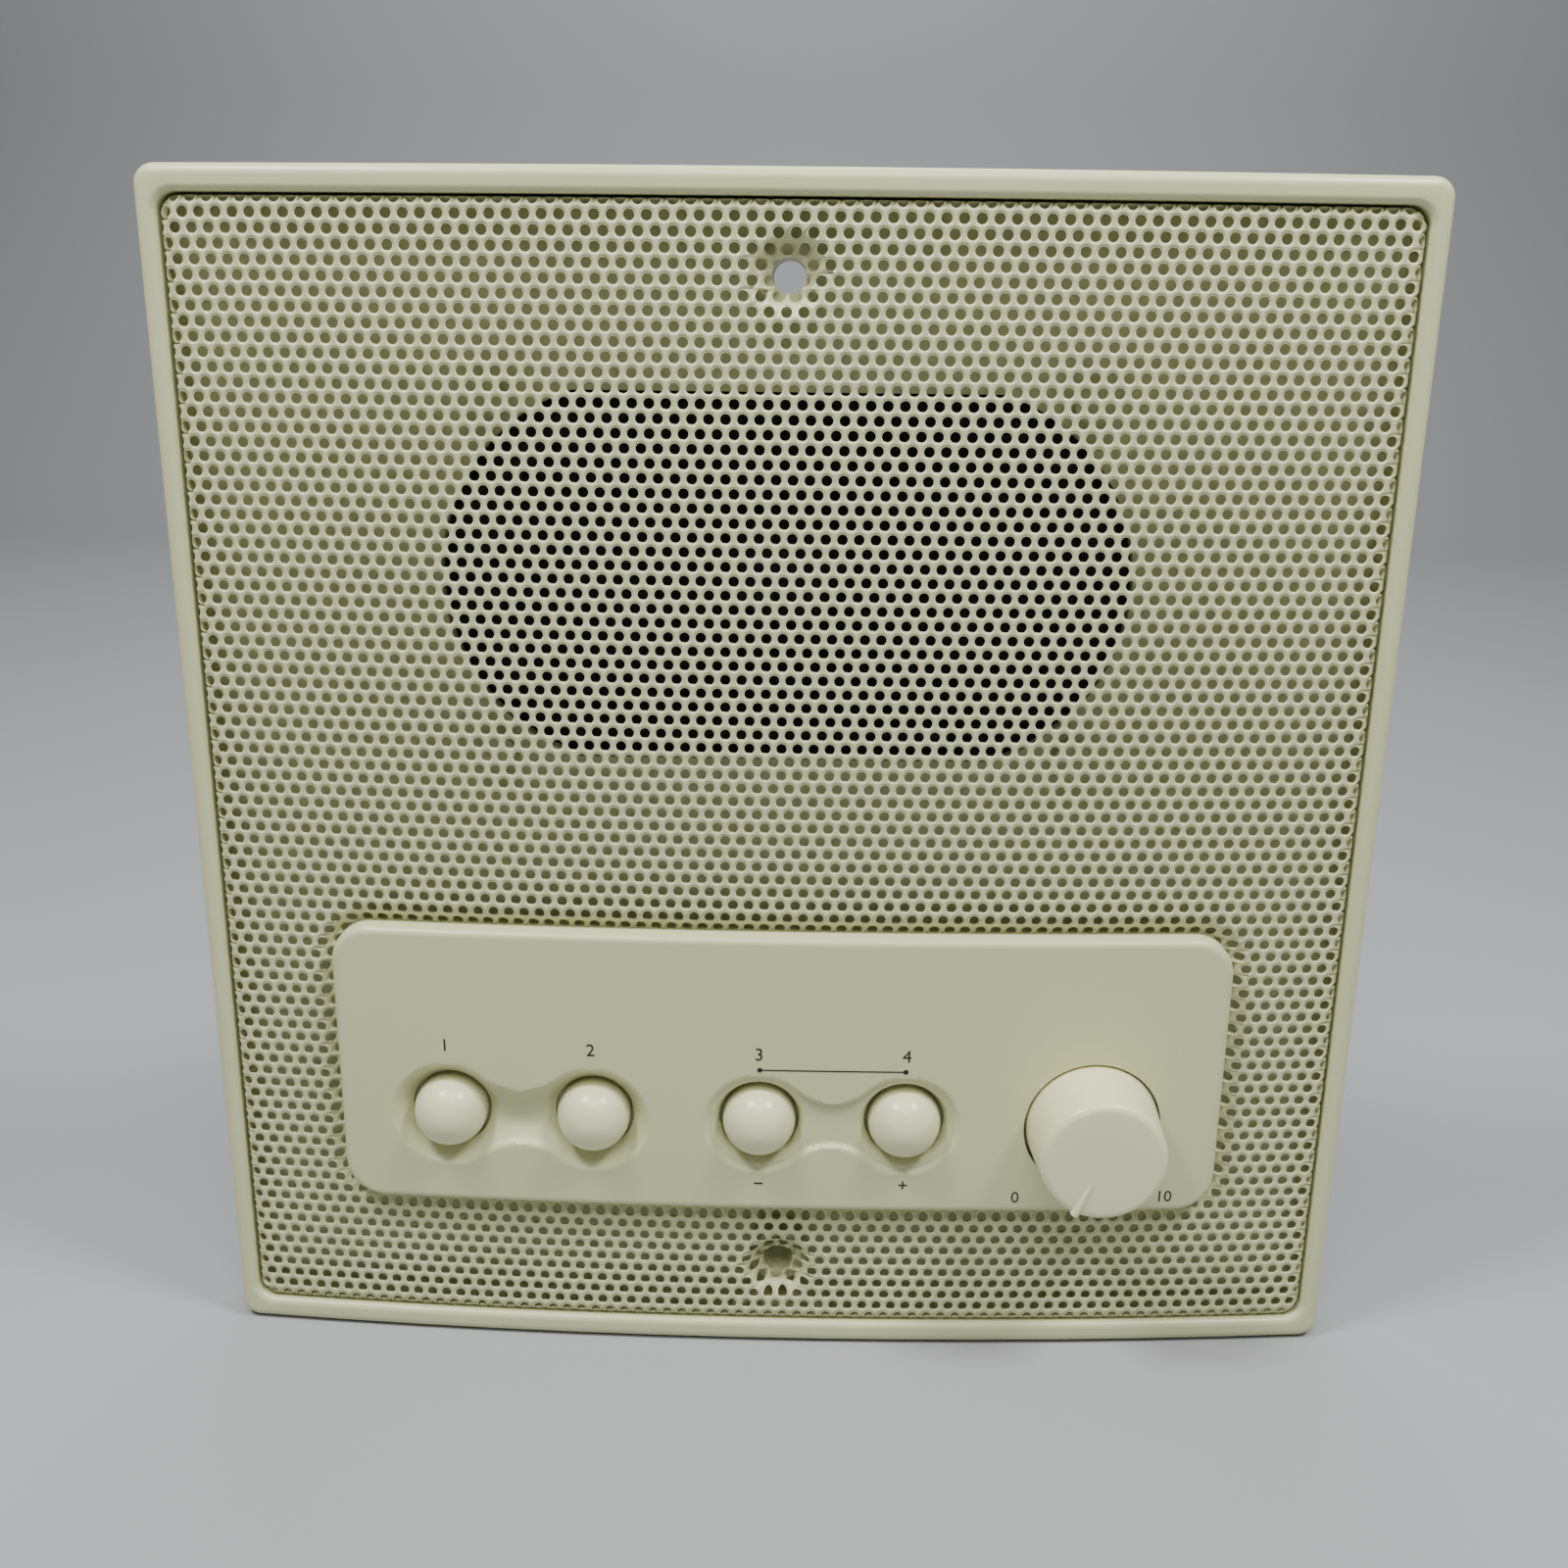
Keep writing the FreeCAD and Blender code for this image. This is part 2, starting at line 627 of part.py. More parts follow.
def make_grille():
    """The grille: one sheet, bowed, with folded edges, a stepped seat for the panel and two screw dimples."""
    sheet = less("grille_sheet", grille_form("grille_outside", "0"),
                 [grille_form("grille_inside", "size.grille_sheet")])
    window = block("grille_window", 0, PANEL_CENTRE, "size.panel_width - 2 * size.seat_width",
                   "size.panel_height - 2 * size.seat_width", "size.panel_corner - size.seat_width",
                   FAR_FRONT, 0)
    holes = [rod(f"grille_hole_{index}", 0, z, "size.screw_hole / 2", FAR_FRONT, 0)
             for index, z in enumerate(SCREW_POSTS)]
    return node("speaker_grille", less("speaker_grille", sheet, [window] + holes))


# ---------------------------------------------------------------- control panel

def panel_form(name, inset):
    """The panel's outer form, or the same form set in by its wall."""
    front = f"({PANEL_FRONT} + {inset})"
    slab = block(f"{name}_slab", 0, PANEL_CENTRE, f"size.panel_width - 2 * {inset}",
                 f"size.panel_height - 2 * {inset}", f"size.panel_corner - {inset}", FAR_FRONT, 0)
    bowed = shared(f"{name}_bowed", slab, bow(f"{name}_bow", front))
    if inset == "0":
        return rounded(name, bowed, "size.panel_round", on_bow(front))
    return bowed


def make_control_panel():
    """The moulded panel: a bowed face with two paired button wells, a knob well and screw bosses behind."""
    shell = less("panel_shell", panel_form("panel_outside", "0"),
                 [panel_form("panel_inside", "size.panel_wall"), bow("panel_rear_bow", RECESS_FLOOR)])
    wall = "size.well_floor"
    solids = [shell]
    hollows = []
    for name, x in BUTTONS.items():
        face = surface(PANEL_FRONT, x)
        floor = f"({face} + size.ball_sink)"
        solids.append(rod(f"panel_cup_{name}", x, CONTROL_HEIGHT, f"size.well_radius + {wall}",
                          f"{face} + 0.6", f"{floor} + {wall}"))
        hollows.append(rod(f"panel_well_{name}", x, CONTROL_HEIGHT, "size.well_radius",
                           FAR_FRONT, floor))
        hollows.append(rod(f"panel_ball_hole_{name}", x, CONTROL_HEIGHT,
                           "size.ball_diameter / 2 + size.ball_gap", FAR_FRONT, f"{floor} + {wall} + 1"))
    for name, x in PAIRS.items():
        face = surface(PANEL_FRONT, x)
        hollows.append(box(f"panel_waist_{name}", x, CONTROL_HEIGHT, "size.button_spacing",
                           "size.waist_height", FAR_FRONT, f"{face} + size.waist_depth"))
        solids.append(box(f"panel_bridge_{name}", x, CONTROL_HEIGHT,
                          "size.button_spacing", f"size.waist_height + 2 * {wall}",
                          f"{face} + 1.2", f"{face} + size.waist_depth + {wall}"))
    knob_radius = "(size.knob_base / 2 + size.knob_gap)"
    solids.append(rod("panel_knob_cup", "size.knob_centre", CONTROL_HEIGHT, f"{knob_radius} + {wall}",
                      f"{KNOB_FACE} + 1.2", POT_FRONT))
    hollows.append(rod("panel_knob_well", "size.knob_centre", CONTROL_HEIGHT, knob_radius,
                       FAR_FRONT, KNOB_FLOOR))
    hollows.append(rod("panel_bushing_hole", "size.knob_centre", CONTROL_HEIGHT,
                       "size.bushing_diameter / 2 + 0.1", FAR_FRONT, f"{POT_FRONT} + 1"))
    fixings = [("panel_boss", PANEL_FIXINGS, BAFFLE_FRONT, "size.panel_screw_diameter")]
    fixings.append(("board_boss", BOARD_FIXINGS, BOARD_FRONT, "size.board_screw_diameter"))
    for name, places, rear, diameter in fixings:
        for index, (x, z) in enumerate(places):
            front = f"({surface(PANEL_FRONT, x)} + size.panel_wall - 0.5)"
            solids.append(rod(f"{name}_{index}", x, z, "size.boss_diameter / 2", front, rear))
            hollows.append(rod(f"{name}_hole_{index}", x, z, f"{diameter} / 2", f"{front} + 1.2",
                               f"{rear} + 1"))
    return node("control_panel", less("control_panel", joined("panel_solids", solids), hollows))


def make_panel_screws():
    """Four screws from behind the baffle into the panel's corner bosses."""
    screws = [screw(f"panel_screw_{index}", x, z, "size.panel_screw_diameter", BAFFLE_REAR,
                    f"{BAFFLE_REAR} + 1.8", f"{BAFFLE_FRONT} - 6", 0.4)
              for index, (x, z) in enumerate(PANEL_FIXINGS)]
    return node("panel_screws", group("panel_screws", screws))


# ---------------------------------------------------------------- push buttons and their switches

def make_button(name, x):
    """A ball button: the ball, a skirt through its hole, a flange that keeps it in, and a stem."""
    z = CONTROL_HEIGHT
    centre = f"({surface(PANEL_FRONT, x)} + size.ball_sink)"
    floor_rear = f"({centre} + size.well_floor)"
    flange_front = f"({floor_rear} + size.moving_gap)"
    flange_rear = f"({flange_front} + size.flange_thickness)"
    radius = "size.ball_diameter / 2"
    ball = doc.addObject("Part::Sphere", f"{name}_ball")
    bind(ball, "Radius", radius)
    place(ball, x, centre, z)
    rear_half = box(f"{name}_ball_rear", x, z, "size.ball_diameter + 1", "size.ball_diameter + 1",
                    centre, f"{centre} + size.ball_diameter")
    dome = less(f"{name}_dome", ball, [rear_half])
    skirt = rod(f"{name}_skirt", x, z, radius, centre, flange_rear)
    flange = rod(f"{name}_flange", x, z, f"{radius} + size.ball_gap + size.flange_overlap",
                 flange_front, flange_rear)
    stem = rod(f"{name}_stem", x, z, "size.stem_diameter / 2", f"{flange_rear} - 0.5", STEM_REAR)
    return node(name, joined(name, [dome, skirt, flange, stem]))


def make_switch(name, x):
    """A switch body on the board, and the plunger that the button's stem presses."""
    z = CONTROL_HEIGHT
    bore = "size.plunger_diameter / 2 + size.running_clearance"
    case = box(f"{name}_case", x, z, "size.switch_width", "size.switch_width", SWITCH_FRONT, BOARD_FRONT)
    guide = rod(f"{name}_bore", x, z, bore, f"{SWITCH_FRONT} - 1", f"{BOARD_FRONT} - 0.5")
    node(f"{name}_switch", less(f"{name}_switch", case, [guide]))
    plunger = rod(f"{name}_plunger", x, z, "size.plunger_diameter / 2", STEM_REAR,
                  f"{STEM_REAR} + size.plunger_length")
    node(f"{name}_plunger", plunger)


# ---------------------------------------------------------------- volume control

def make_volume_control():
    """The potentiometer with its washer and nut, and the knob on its shaft."""
    x = "size.knob_centre"
    z = CONTROL_HEIGHT
    washer_front = f"({KNOB_FLOOR} - size.washer_thickness)"
    nut_front = f"({washer_front} - size.nut_thickness)"
    bushing_front = f"({nut_front} - 0.6)"
    shaft = "size.shaft_diameter / 2"
    bushing = "size.bushing_diameter / 2"
    clear_shaft = f"{shaft} + size.running_clearance"
    case = box("pot_case", x, z, "size.pot_width", "size.pot_width", POT_FRONT, BOARD_FRONT)
    neck = rod("pot_neck", x, z, bushing, bushing_front, f"{POT_FRONT} + 1")
    bore = rod("pot_bore", x, z, clear_shaft, f"{bushing_front} - 1", f"{POT_FRONT} + 3")
    chamber = rod("pot_chamber", x, z, "size.pot_width / 2 - 2", f"{POT_FRONT} + 2", f"{BOARD_FRONT} - 1.5")
    node("volume_pot", less("volume_pot", joined("pot_solids", [case, neck]), [bore, chamber]))
    washer = ring("pot_washer", "size.washer_diameter / 2", bushing, washer_front, KNOB_FLOOR, x, z)
    node("pot_washer", washer)

    hexagon = doc.addObject("Part::Prism", "pot_nut_blank")
    hexagon.Polygon = 6
    hexagon.Placement.Rotation = Rotation(Vector(1, 0, 0), -90)
    bind(hexagon, "Circumradius", "size.nut_across / sqrt(3)")
    bind(hexagon, "Height", "size.nut_thickness")
    place(hexagon, x, nut_front, z)
    nut_hole = rod("pot_nut_hole", x, z, bushing, f"{nut_front} - 1", KNOB_FLOOR)
    node("pot_nut", less("pot_nut", hexagon, [nut_hole]))

    shaft_front = f"({KNOB_END} + size.knob_crown + 0.4)"
    disc = "size.pot_width / 2 - 2.6"
    disc_front = f"({POT_FRONT} + 2.4)"
    profile = [(0, shaft_front), (shaft, shaft_front), (shaft, disc_front), (disc, disc_front),
               (disc, f"{disc_front} + 1.5"), (0, f"{disc_front} + 1.5")]
    node("pot_shaft", turned("pot_shaft", profile, x, z))
    make_knob(x, z)


def make_knob(x, z):
    """A tapered hollow knob with a rounded crown, a hub on the shaft and a thin raised pointer."""
    base = "size.knob_base / 2"
    taper = doc.addObject("Part::Cone", "knob_taper")
    taper.Placement.Rotation = Rotation(Vector(1, 0, 0), -90)
    bind(taper, "Radius1", "size.knob_front / 2")
    bind(taper, "Radius2", base)
    bind(taper, "Height", f"{KNOB_REAR} - {KNOB_END}")
    place(taper, x, KNOB_END, z)
    doc.recompute()
    crowned = rounded("knob_crowned", taper, "size.knob_round", level_with(KNOB_END))
    hollow = doc.addObject("Part::Cone", "knob_hollow")
    hollow.Placement.Rotation = Rotation(Vector(1, 0, 0), -90)
    bind(hollow, "Radius1", "size.knob_front / 2 - size.knob_wall")
    bind(hollow, "Radius2", f"{base} - size.knob_wall")
    bind(hollow, "Height", f"{KNOB_REAR} - {KNOB_END} - size.knob_crown")
    place(hollow, x, f"({KNOB_END} + size.knob_crown)", z)
    shell = less("knob_shell", crowned, [hollow])
    hub = rod("knob_hub", x, z, "size.hub_diameter / 2", f"{KNOB_END} + size.knob_crown - 0.5",
              f"{KNOB_REAR} - 5")
    pointer = box("knob_pointer", 0, "-(size.knob_front / 2 - 0.8 - size.pointer_length / 2)",
                  "size.pointer_width", "size.pointer_length", f"{KNOB_END} - size.pointer_rise",
                  f"{KNOB_END} + 1")
    turn = Rotation(Vector(0, 1, 0), number("size.pointer_angle"))
    reach = f"(size.knob_front / 2 - 0.8)"
    pointer.Placement.Rotation = turn
    across = "size.pointer_width / 2"
    angle = "size.pointer_angle"
    place(pointer, f"{x} - {across} * cos({angle}) - {reach} * sin({angle})",
          f"{KNOB_END} - size.pointer_rise",
          f"{z} + {across} * sin({angle}) - {reach} * cos({angle})")
    bore = rod("knob_bore", x, z, "size.shaft_diameter / 2", f"{KNOB_END} + size.knob_crown + 0.4",
               f"{KNOB_REAR} + 1")
    node("volume_knob", less("volume_knob", joined("knob_solids", [shell, hub, pointer]), [bore]))


# ---------------------------------------------------------------- circuit board

def make_board():
    """The board on the panel's bosses, with its screws, chip, heat sink, capacitors and terminal block."""
    board = new_body("circuit_board")
    middle = PANEL_CENTRE
    pad(board, BOARD_FRONT, BOARD_REAR,
        lambda sketch: draw_rounded_rectangle(sketch, 0, middle, "size.board_width", "size.board_height", 2))
    for x, z in BOARD_FIXINGS:
        pocket(board, BOARD_FRONT, f"{BOARD_REAR} + 1",
               lambda sketch, x=x, z=z: draw_circle(sketch, x, z, "size.board_screw_diameter / 2 + 0.2"))
    node("circuit_board", board)
    screws = [screw(f"board_screw_{index}", x, z, "size.board_screw_diameter", BOARD_REAR,
                    f"{BOARD_REAR} + 1.6", f"{BOARD_FRONT} - 5", 0.4)
              for index, (x, z) in enumerate(BOARD_FIXINGS)]
    node("board_screws", group("board_screws", screws))
    chip = "size.chip_centre"
    chip_rear = f"({BOARD_REAR} + size.chip_thickness)"
    sink_rear = f"({chip_rear} + size.sink_depth)"
    node("amplifier_chip", box("amplifier_chip", chip, middle, "size.chip_width", "size.chip_height",
                               BOARD_REAR, chip_rear))
    plate = box("sink_plate", chip, middle, "size.sink_width", "size.sink_height", chip_rear,
                f"{chip_rear} + size.sink_base")
    fins = [box(f"sink_fin_{index + 3}", f"({chip} + size.fin_pitch * {index})", middle, "size.fin_thickness",
                "size.sink_height", f"{chip_rear} + size.sink_base / 2", sink_rear)
            for index in range(-3, 4)]
    node("heat_sink", joined("heat_sink", [plate] + fins))
    cans = []
    for index, (x, radius, length) in enumerate(((-8, 5.0, 13), (5, 4.0, 11), (60, 5.0, 13))):
        can = rod(f"capacitor_{index}", x, f"{middle} - 6", radius, BOARD_REAR, f"{BOARD_REAR} + {length}")
        doc.recompute()
        cans.append(rounded(f"capacitor_rounded_{index}", can, 0.8, level_with(f"{BOARD_REAR} + {length}")))
    node("board_capacitors", group("board_capacitors", cans))
    make_terminal_block("size.terminal_centre", f"({middle} + 2)")


def make_terminal_block(x, z):
    """A screw terminal block for the house wiring: wire mouths below and clamp screws behind."""
    ways = 8
    pitch = "size.terminal_pitch"
    rear = f"({BOARD_REAR} + size.terminal_depth)"
    case = box("terminal_case", x, z, f"{ways} * {pitch}", "size.terminal_height", BOARD_REAR, rear)
    centres = [f"({x} + {pitch} * {index - (ways - 1) / 2})" for index in range(ways)]
    mouths = [box(f"terminal_mouth_{index}", centre, f"({z} - size.terminal_height / 3)",
                  f"{pitch} * 0.68", "size.terminal_height * 0.67", f"{BOARD_REAR} + 2", f"{BOARD_REAR} + 5.5")
              for index, centre in enumerate(centres)]
    wells = [rod(f"terminal_well_{index}", centre, z, f"{pitch} * 0.36", f"{rear} - 3", f"{rear} + 1")
             for index, centre in enumerate(centres)]
    node("terminal_block", less("terminal_block", case, mouths + wells))
    heads = []
    for index, centre in enumerate(centres):
        head = rod(f"terminal_screw_{index}", centre, z, f"{pitch} * 0.34", f"{rear} - 3", f"{rear} - 0.8")
        slot = box(f"terminal_slot_{index}", centre, z, pitch, 0.6, f"{rear} - 1.6", rear)
        heads.append(less(f"terminal_head_{index}", head, [slot]))
    node("terminal_screws", group("terminal_screws", heads))


# ---------------------------------------------------------------- loudspeaker

def make_basket():
    """The pressed steel basket: flange, four-sided cone with windows, and the plate behind."""
    basket = new_body("speaker_basket")
    z = SPEAKER_CENTRE
    pad(basket, FLANGE_FRONT, FLANGE_REAR,
        lambda sketch: draw_rounded_rectangle(sketch, 0, z, "size.flange_width", "size.flange_height",
                                              "size.flange_corner"))
    rear = "size.basket_rear"
    sheet = "size.basket_sheet"
    loft(basket, "Additive", [(FLANGE_FRONT, "size.basket_width", "size.basket_height", "size.basket_corner"),
                              (PLATE_FRONT, rear, rear, f"{rear} / 2 - 0.1")])
    loft(basket, "Subtractive", [
        (FLANGE_FRONT, f"size.basket_width - 2 * {sheet}", f"size.basket_height - 2 * {sheet}",
         f"size.basket_corner - {sheet}"),
        (BASKET_REAR, f"{rear} - {sheet}", f"{rear} - {sheet}", f"({rear} - {sheet}) / 2 - 0.1")])
    pocket(basket, f"{BASKET_REAR} - 1", f"{PLATE_FRONT} + 1",
           lambda sketch: draw_circle(sketch, 0, z, "size.coil_radius + 1.5"))
    for x, height in SPEAKER_FIXINGS:
        pocket(basket, FLANGE_FRONT, f"{FLANGE_REAR} + 1",
               lambda sketch, x=x, height=height: draw_circle(sketch, x, height, SPEAKER_SCREW_HOLE))
    low = f"({FLANGE_REAR} + 4)"
    high = f"({BASKET_REAR} - 4)"
    across = ("size.basket_width / 4", "size.basket_rear / 3")
    up = ("size.basket_height / 4", "size.basket_rear / 4")
    windows = [("XY_Plane", [(f"-{across[0]}", low), (across[0], low), (across[1], high),
                             (f"-{across[1]}", high)]),
               ("YZ_Plane", [(low, f"{z} - {up[0]}"), (low, f"{z} + {up[0]}"), (high, f"{z} + {up[1]}"),
                             (high, f"{z} - {up[1]}")])]
    for role, corners in windows:
        sketch = sketch_on(basket, role)
        draw_polygon(sketch, corners)
        window = basket.newObject("PartDesign::Pocket", "basket_window")
        window.Profile = sketch
        window.Type = "ThroughAll"
        window.Midplane = True
        doc.recompute()
    return node("speaker_basket", basket)


def oval_ring(name, outer, inner, front, rear):
    """A flat ring on the speaker's axis, each outline given as (width, height, corner)."""
    z = SPEAKER_CENTRE
    body = block(name, 0, z, *outer, front, rear)
    pocket(body, front, f"{rear} + 1", lambda sketch: draw_rounded_rectangle(sketch, 0, z, *inner))
    return body


def make_speaker():
    """The oval loudspeaker: gasket, surround, cone, coil, spider, magnet system and terminals."""
    z = SPEAKER_CENTRE
    make_basket()
    gasket = oval_ring("speaker_gasket", ("size.flange_width", "size.flange_height", "size.flange_corner"),
                       ("size.opening_width + 4", "size.opening_height + 4", "size.opening_height / 2 + 1.9"),
                       GASKET_FRONT, SURROUND_FRONT)
    for x, up in SPEAKER_FIXINGS:
        pocket(gasket, GASKET_FRONT, SURROUND_FRONT,
               lambda sketch, x=x, up=up: draw_circle(sketch, x, up, SPEAKER_SCREW_HOLE))
    node("speaker_gasket", gasket)
    cone_edge = ("size.cone_width - 2 * size.cone_sheet", "size.cone_height - 2 * size.cone_sheet",
                 "size.cone_height / 2 - size.cone_sheet - 0.1")
    surround = oval_ring("cone_surround", ("size.basket_width + 6", "size.basket_height + 6",
                                           "size.basket_corner + 2"), cone_edge, SURROUND_FRONT, FLANGE_FRONT)
    node("cone_surround", surround)
    cone = new_body("speaker_cone")
    neck = "(size.coil_radius + size.cone_sheet)"
    loft(cone, "Additive", [
        (FLANGE_FRONT, "size.cone_width", "size.cone_height", "size.cone_height / 2 - 0.1"),
        (CONE_REAR, f"2 * {neck}", f"2 * {neck}", f"{neck} - 0.1")])
    loft(cone, "Subtractive", [(FLANGE_FRONT, *cone_edge),
                               (CONE_REAR, "2 * size.coil_radius", "2 * size.coil_radius",
                                "size.coil_radius - 0.1")])
    node("speaker_cone", cone)
    inner = "(size.coil_radius - size.coil_wall)"
    node("voice_coil", ring("voice_coil", "size.coil_radius", inner, COIL_FRONT,
                            f"{COIL_FRONT} + size.coil_length", 0, z))
    make_dust_cap(z)
    foot = "size.basket_rear / 2 - 3"
    spider_front = f"({CONE_REAR} + 2.4)"
    profile = [("size.coil_radius + 0.1", spider_front), (foot, spider_front), (foot, BASKET_REAR),
               (f"{foot} - 2.5", BASKET_REAR), (f"{foot} - 2.5", f"{spider_front} + 0.4"),
               ("size.coil_radius + 0.1", f"{spider_front} + 0.4")]
    node("cone_spider", turned("cone_spider", profile, 0, z))
    node("magnet_top_plate", ring("magnet_top_plate", "size.plate_radius", "size.coil_radius + size.coil_gap",
                                  PLATE_FRONT, MAGNET_FRONT, 0, z))
    node("speaker_magnet", ring("speaker_magnet", "size.magnet_radius", "size.magnet_hole",
                                MAGNET_FRONT, MAGNET_REAR, 0, z))
    pole = f"{inner} - size.coil_gap"
    profile = [(0, PLATE_FRONT), (pole, PLATE_FRONT), (pole, MAGNET_REAR), ("size.plate_radius", MAGNET_REAR),
               ("size.plate_radius", SPEAKER_REAR), (0, SPEAKER_REAR)]
    node("magnet_back_plate", turned("magnet_back_plate", profile, 0, z))
    screws = [screw(f"speaker_screw_{index}", x, up, "size.speaker_screw_diameter", FLANGE_REAR,
                    f"{FLANGE_REAR} + 2", f"{SPEAKER_BOSS_FRONT} + 1.6", 0.4)
              for index, (x, up) in enumerate(SPEAKER_FIXINGS)]
    node("speaker_screws", group("speaker_screws", screws))
    make_terminals_and_leads()


def make_dust_cap(z):
    """A shallow dome over the coil's front end."""
    dome = "size.coil_radius + 7.5"
    middle = f"({COIL_FRONT} + sqrt(({dome}) ^ 2 - size.coil_radius ^ 2))"
    skins = []
    for name, radius in (("dust_cap_outer", dome), ("dust_cap_inner", f"{dome} - 0.5")):
        ball = doc.addObject("Part::Sphere", name)
        bind(ball, "Radius", radius)
        skins.append(place(ball, 0, middle, z))
    shell = less("dust_cap_shell", skins[0], [skins[1]])
    front = rod("dust_cap_front", 0, z, f"{dome} + 1", f"{COIL_FRONT} - 20", COIL_FRONT)
    node("dust_cap", shared("dust_cap", shell, front))


def make_terminals_and_leads():
    """The speaker's terminal strip on the flange, and the two leads that come up from the board."""
    foot = f"({SPEAKER_CENTRE} - size.flange_height / 2 + 1)"
    strip = box("terminal_strip_plate", 0, f"{foot} + 0.8", 26, 1.6, FLANGE_REAR, f"{FLANGE_REAR} + 10")
    sides = {"speaker_lead_red": -6, "speaker_lead_black": 6}
    lug_front = f"({FLANGE_REAR} + 5.5)"
    lugs = [box(f"terminal_lug_{index}", x, f"{foot} - 1.5", 2.4, 3.2, lug_front, f"{lug_front} + 0.8")
            for index, x in enumerate(sides.values())]
    node("speaker_terminals", joined("speaker_terminals", [strip] + lugs))
    pad_height = f"({PANEL_CENTRE} + size.board_height / 2 - 4)"
    for name, x in sides.items():
        node(name, make_lead(name, x, pad_height, f"({foot} - 3.1)", f"({lug_front} + 0.4)"))


def make_lead(name, x, low, high, end):
    """A lead in one upright plane: back from the board, up, and forward to its lug, with wide bends."""
    turn = 7.0
    reach = f"({BOARD_REAR} + 14)"
    route = [Vector(x, number(BOARD_REAR), number(low)), Vector(x, number(reach), number(low)),
             Vector(x, number(reach), (number(low) + number(high)) / 2),
             Vector(x, number(end), number(high) - 5), Vector(x, number(end), number(high))]
    edges = []
    start = route[0]
    for before, corner, after in zip(route, route[1:], route[2:]):
        inward = (before - corner).normalize()
        onward = (after - corner).normalize()
        half = inward.getAngle(onward) / 2
        shorter = min((before - corner).Length, (after - corner).Length)
        reach_back = min(turn / math.tan(half), 0.45 * shorter)
        first = corner + inward * reach_back
        last = corner + onward * reach_back
        bisector = (inward + onward).normalize()
        radius = reach_back * math.tan(half)
        middle = corner + bisector * (radius / math.sin(half) - radius)
        edges.append(Part.LineSegment(start, first).toShape())
        edges.append(Part.Arc(first, middle, last).toShape())
        start = last
    edges.append(Part.LineSegment(start, route[-1]).toShape())
    path = Part.Wire(edges)
    section = Part.Wire([Part.Circle(route[0], Vector(0, 1, 0), number("size.lead_diameter / 2")).toShape()])
    lead = doc.addObject("Part::Feature", name)
    lead.Shape = path.makePipeShell([section], True, True)
    return lead


# ---------------------------------------------------------------- the whole assembly

def check(items):
    """Stop if any feature failed, or any sub-part is empty, invalid or not solid."""
    for item in doc.Objects:
        if "Invalid" in item.State or "Error" in item.State:
            raise RuntimeError(f"{item.Name} failed: {item.State}")
    for name, item in items.items():
        shape = item.Shape
        if shape.isNull() or not shape.isValid() or not shape.Solids:
            raise RuntimeError(f"{name} has no valid solid")
        print(f"{name:22s} solids {len(shape.Solids)}  volume {shape.Volume:11.2f}")


make_front_frame()
make_grille()
make_control_panel()
make_panel_screws()
for button, button_x in BUTTONS.items():
    make_button(button, button_x)
    make_switch(button, button_x)
make_volume_control()
make_board()
make_speaker()
doc.recompute()
check(nodes)

os.makedirs("parts", exist_ok=True)
for node_name, node_item in nodes.items():
    node_item.Shape.exportStep(f"parts/{node_name}.step")
print(len(nodes), "sub-parts written")
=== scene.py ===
# %% [markdown]
# # A wall speaker with a perforated front
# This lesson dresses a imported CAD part: a shower speaker with a moulded tray, a bowed steel grille, a control
# panel with four ball buttons, and a volume knob. The CAD part fixes where everything is and what moves, so the
# first step loads it as a frame. Every later piece takes its place from that frame, and never moves it.

# %% Load the frame
import json
import math

import bmesh
import bpy
import numpy as np
from mathutils import Matrix, Vector


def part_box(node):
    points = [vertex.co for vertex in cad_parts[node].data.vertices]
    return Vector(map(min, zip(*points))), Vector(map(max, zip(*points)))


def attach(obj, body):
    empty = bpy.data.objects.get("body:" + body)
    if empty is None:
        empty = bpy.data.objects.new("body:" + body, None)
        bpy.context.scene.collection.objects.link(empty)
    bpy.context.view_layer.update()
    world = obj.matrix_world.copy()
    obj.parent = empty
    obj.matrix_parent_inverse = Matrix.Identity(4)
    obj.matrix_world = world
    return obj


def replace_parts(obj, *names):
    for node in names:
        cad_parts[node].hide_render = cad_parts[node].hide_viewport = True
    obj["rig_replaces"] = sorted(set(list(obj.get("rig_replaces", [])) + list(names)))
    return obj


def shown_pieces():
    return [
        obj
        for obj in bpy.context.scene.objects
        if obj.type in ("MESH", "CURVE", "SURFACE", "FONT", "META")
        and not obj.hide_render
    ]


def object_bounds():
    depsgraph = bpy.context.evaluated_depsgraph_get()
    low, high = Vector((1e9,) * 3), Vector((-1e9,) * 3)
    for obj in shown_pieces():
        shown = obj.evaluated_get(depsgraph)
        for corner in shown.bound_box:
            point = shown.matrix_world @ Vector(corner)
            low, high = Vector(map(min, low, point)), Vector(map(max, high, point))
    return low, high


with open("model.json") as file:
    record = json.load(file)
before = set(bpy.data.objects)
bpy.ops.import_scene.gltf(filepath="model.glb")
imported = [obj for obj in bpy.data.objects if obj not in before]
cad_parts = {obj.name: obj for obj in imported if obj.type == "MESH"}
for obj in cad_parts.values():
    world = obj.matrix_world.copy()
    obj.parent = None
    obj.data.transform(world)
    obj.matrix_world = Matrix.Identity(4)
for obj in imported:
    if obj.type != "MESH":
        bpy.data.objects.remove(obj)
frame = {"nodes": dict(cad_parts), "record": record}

cad_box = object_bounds()
record = frame["record"]
slot_of = {entry["node"]: entry["material_slot"] for entry in record["subparts"]}
body_of = {node: body for body, nodes in record["behaviour"]["bodies"].items() for node in nodes}

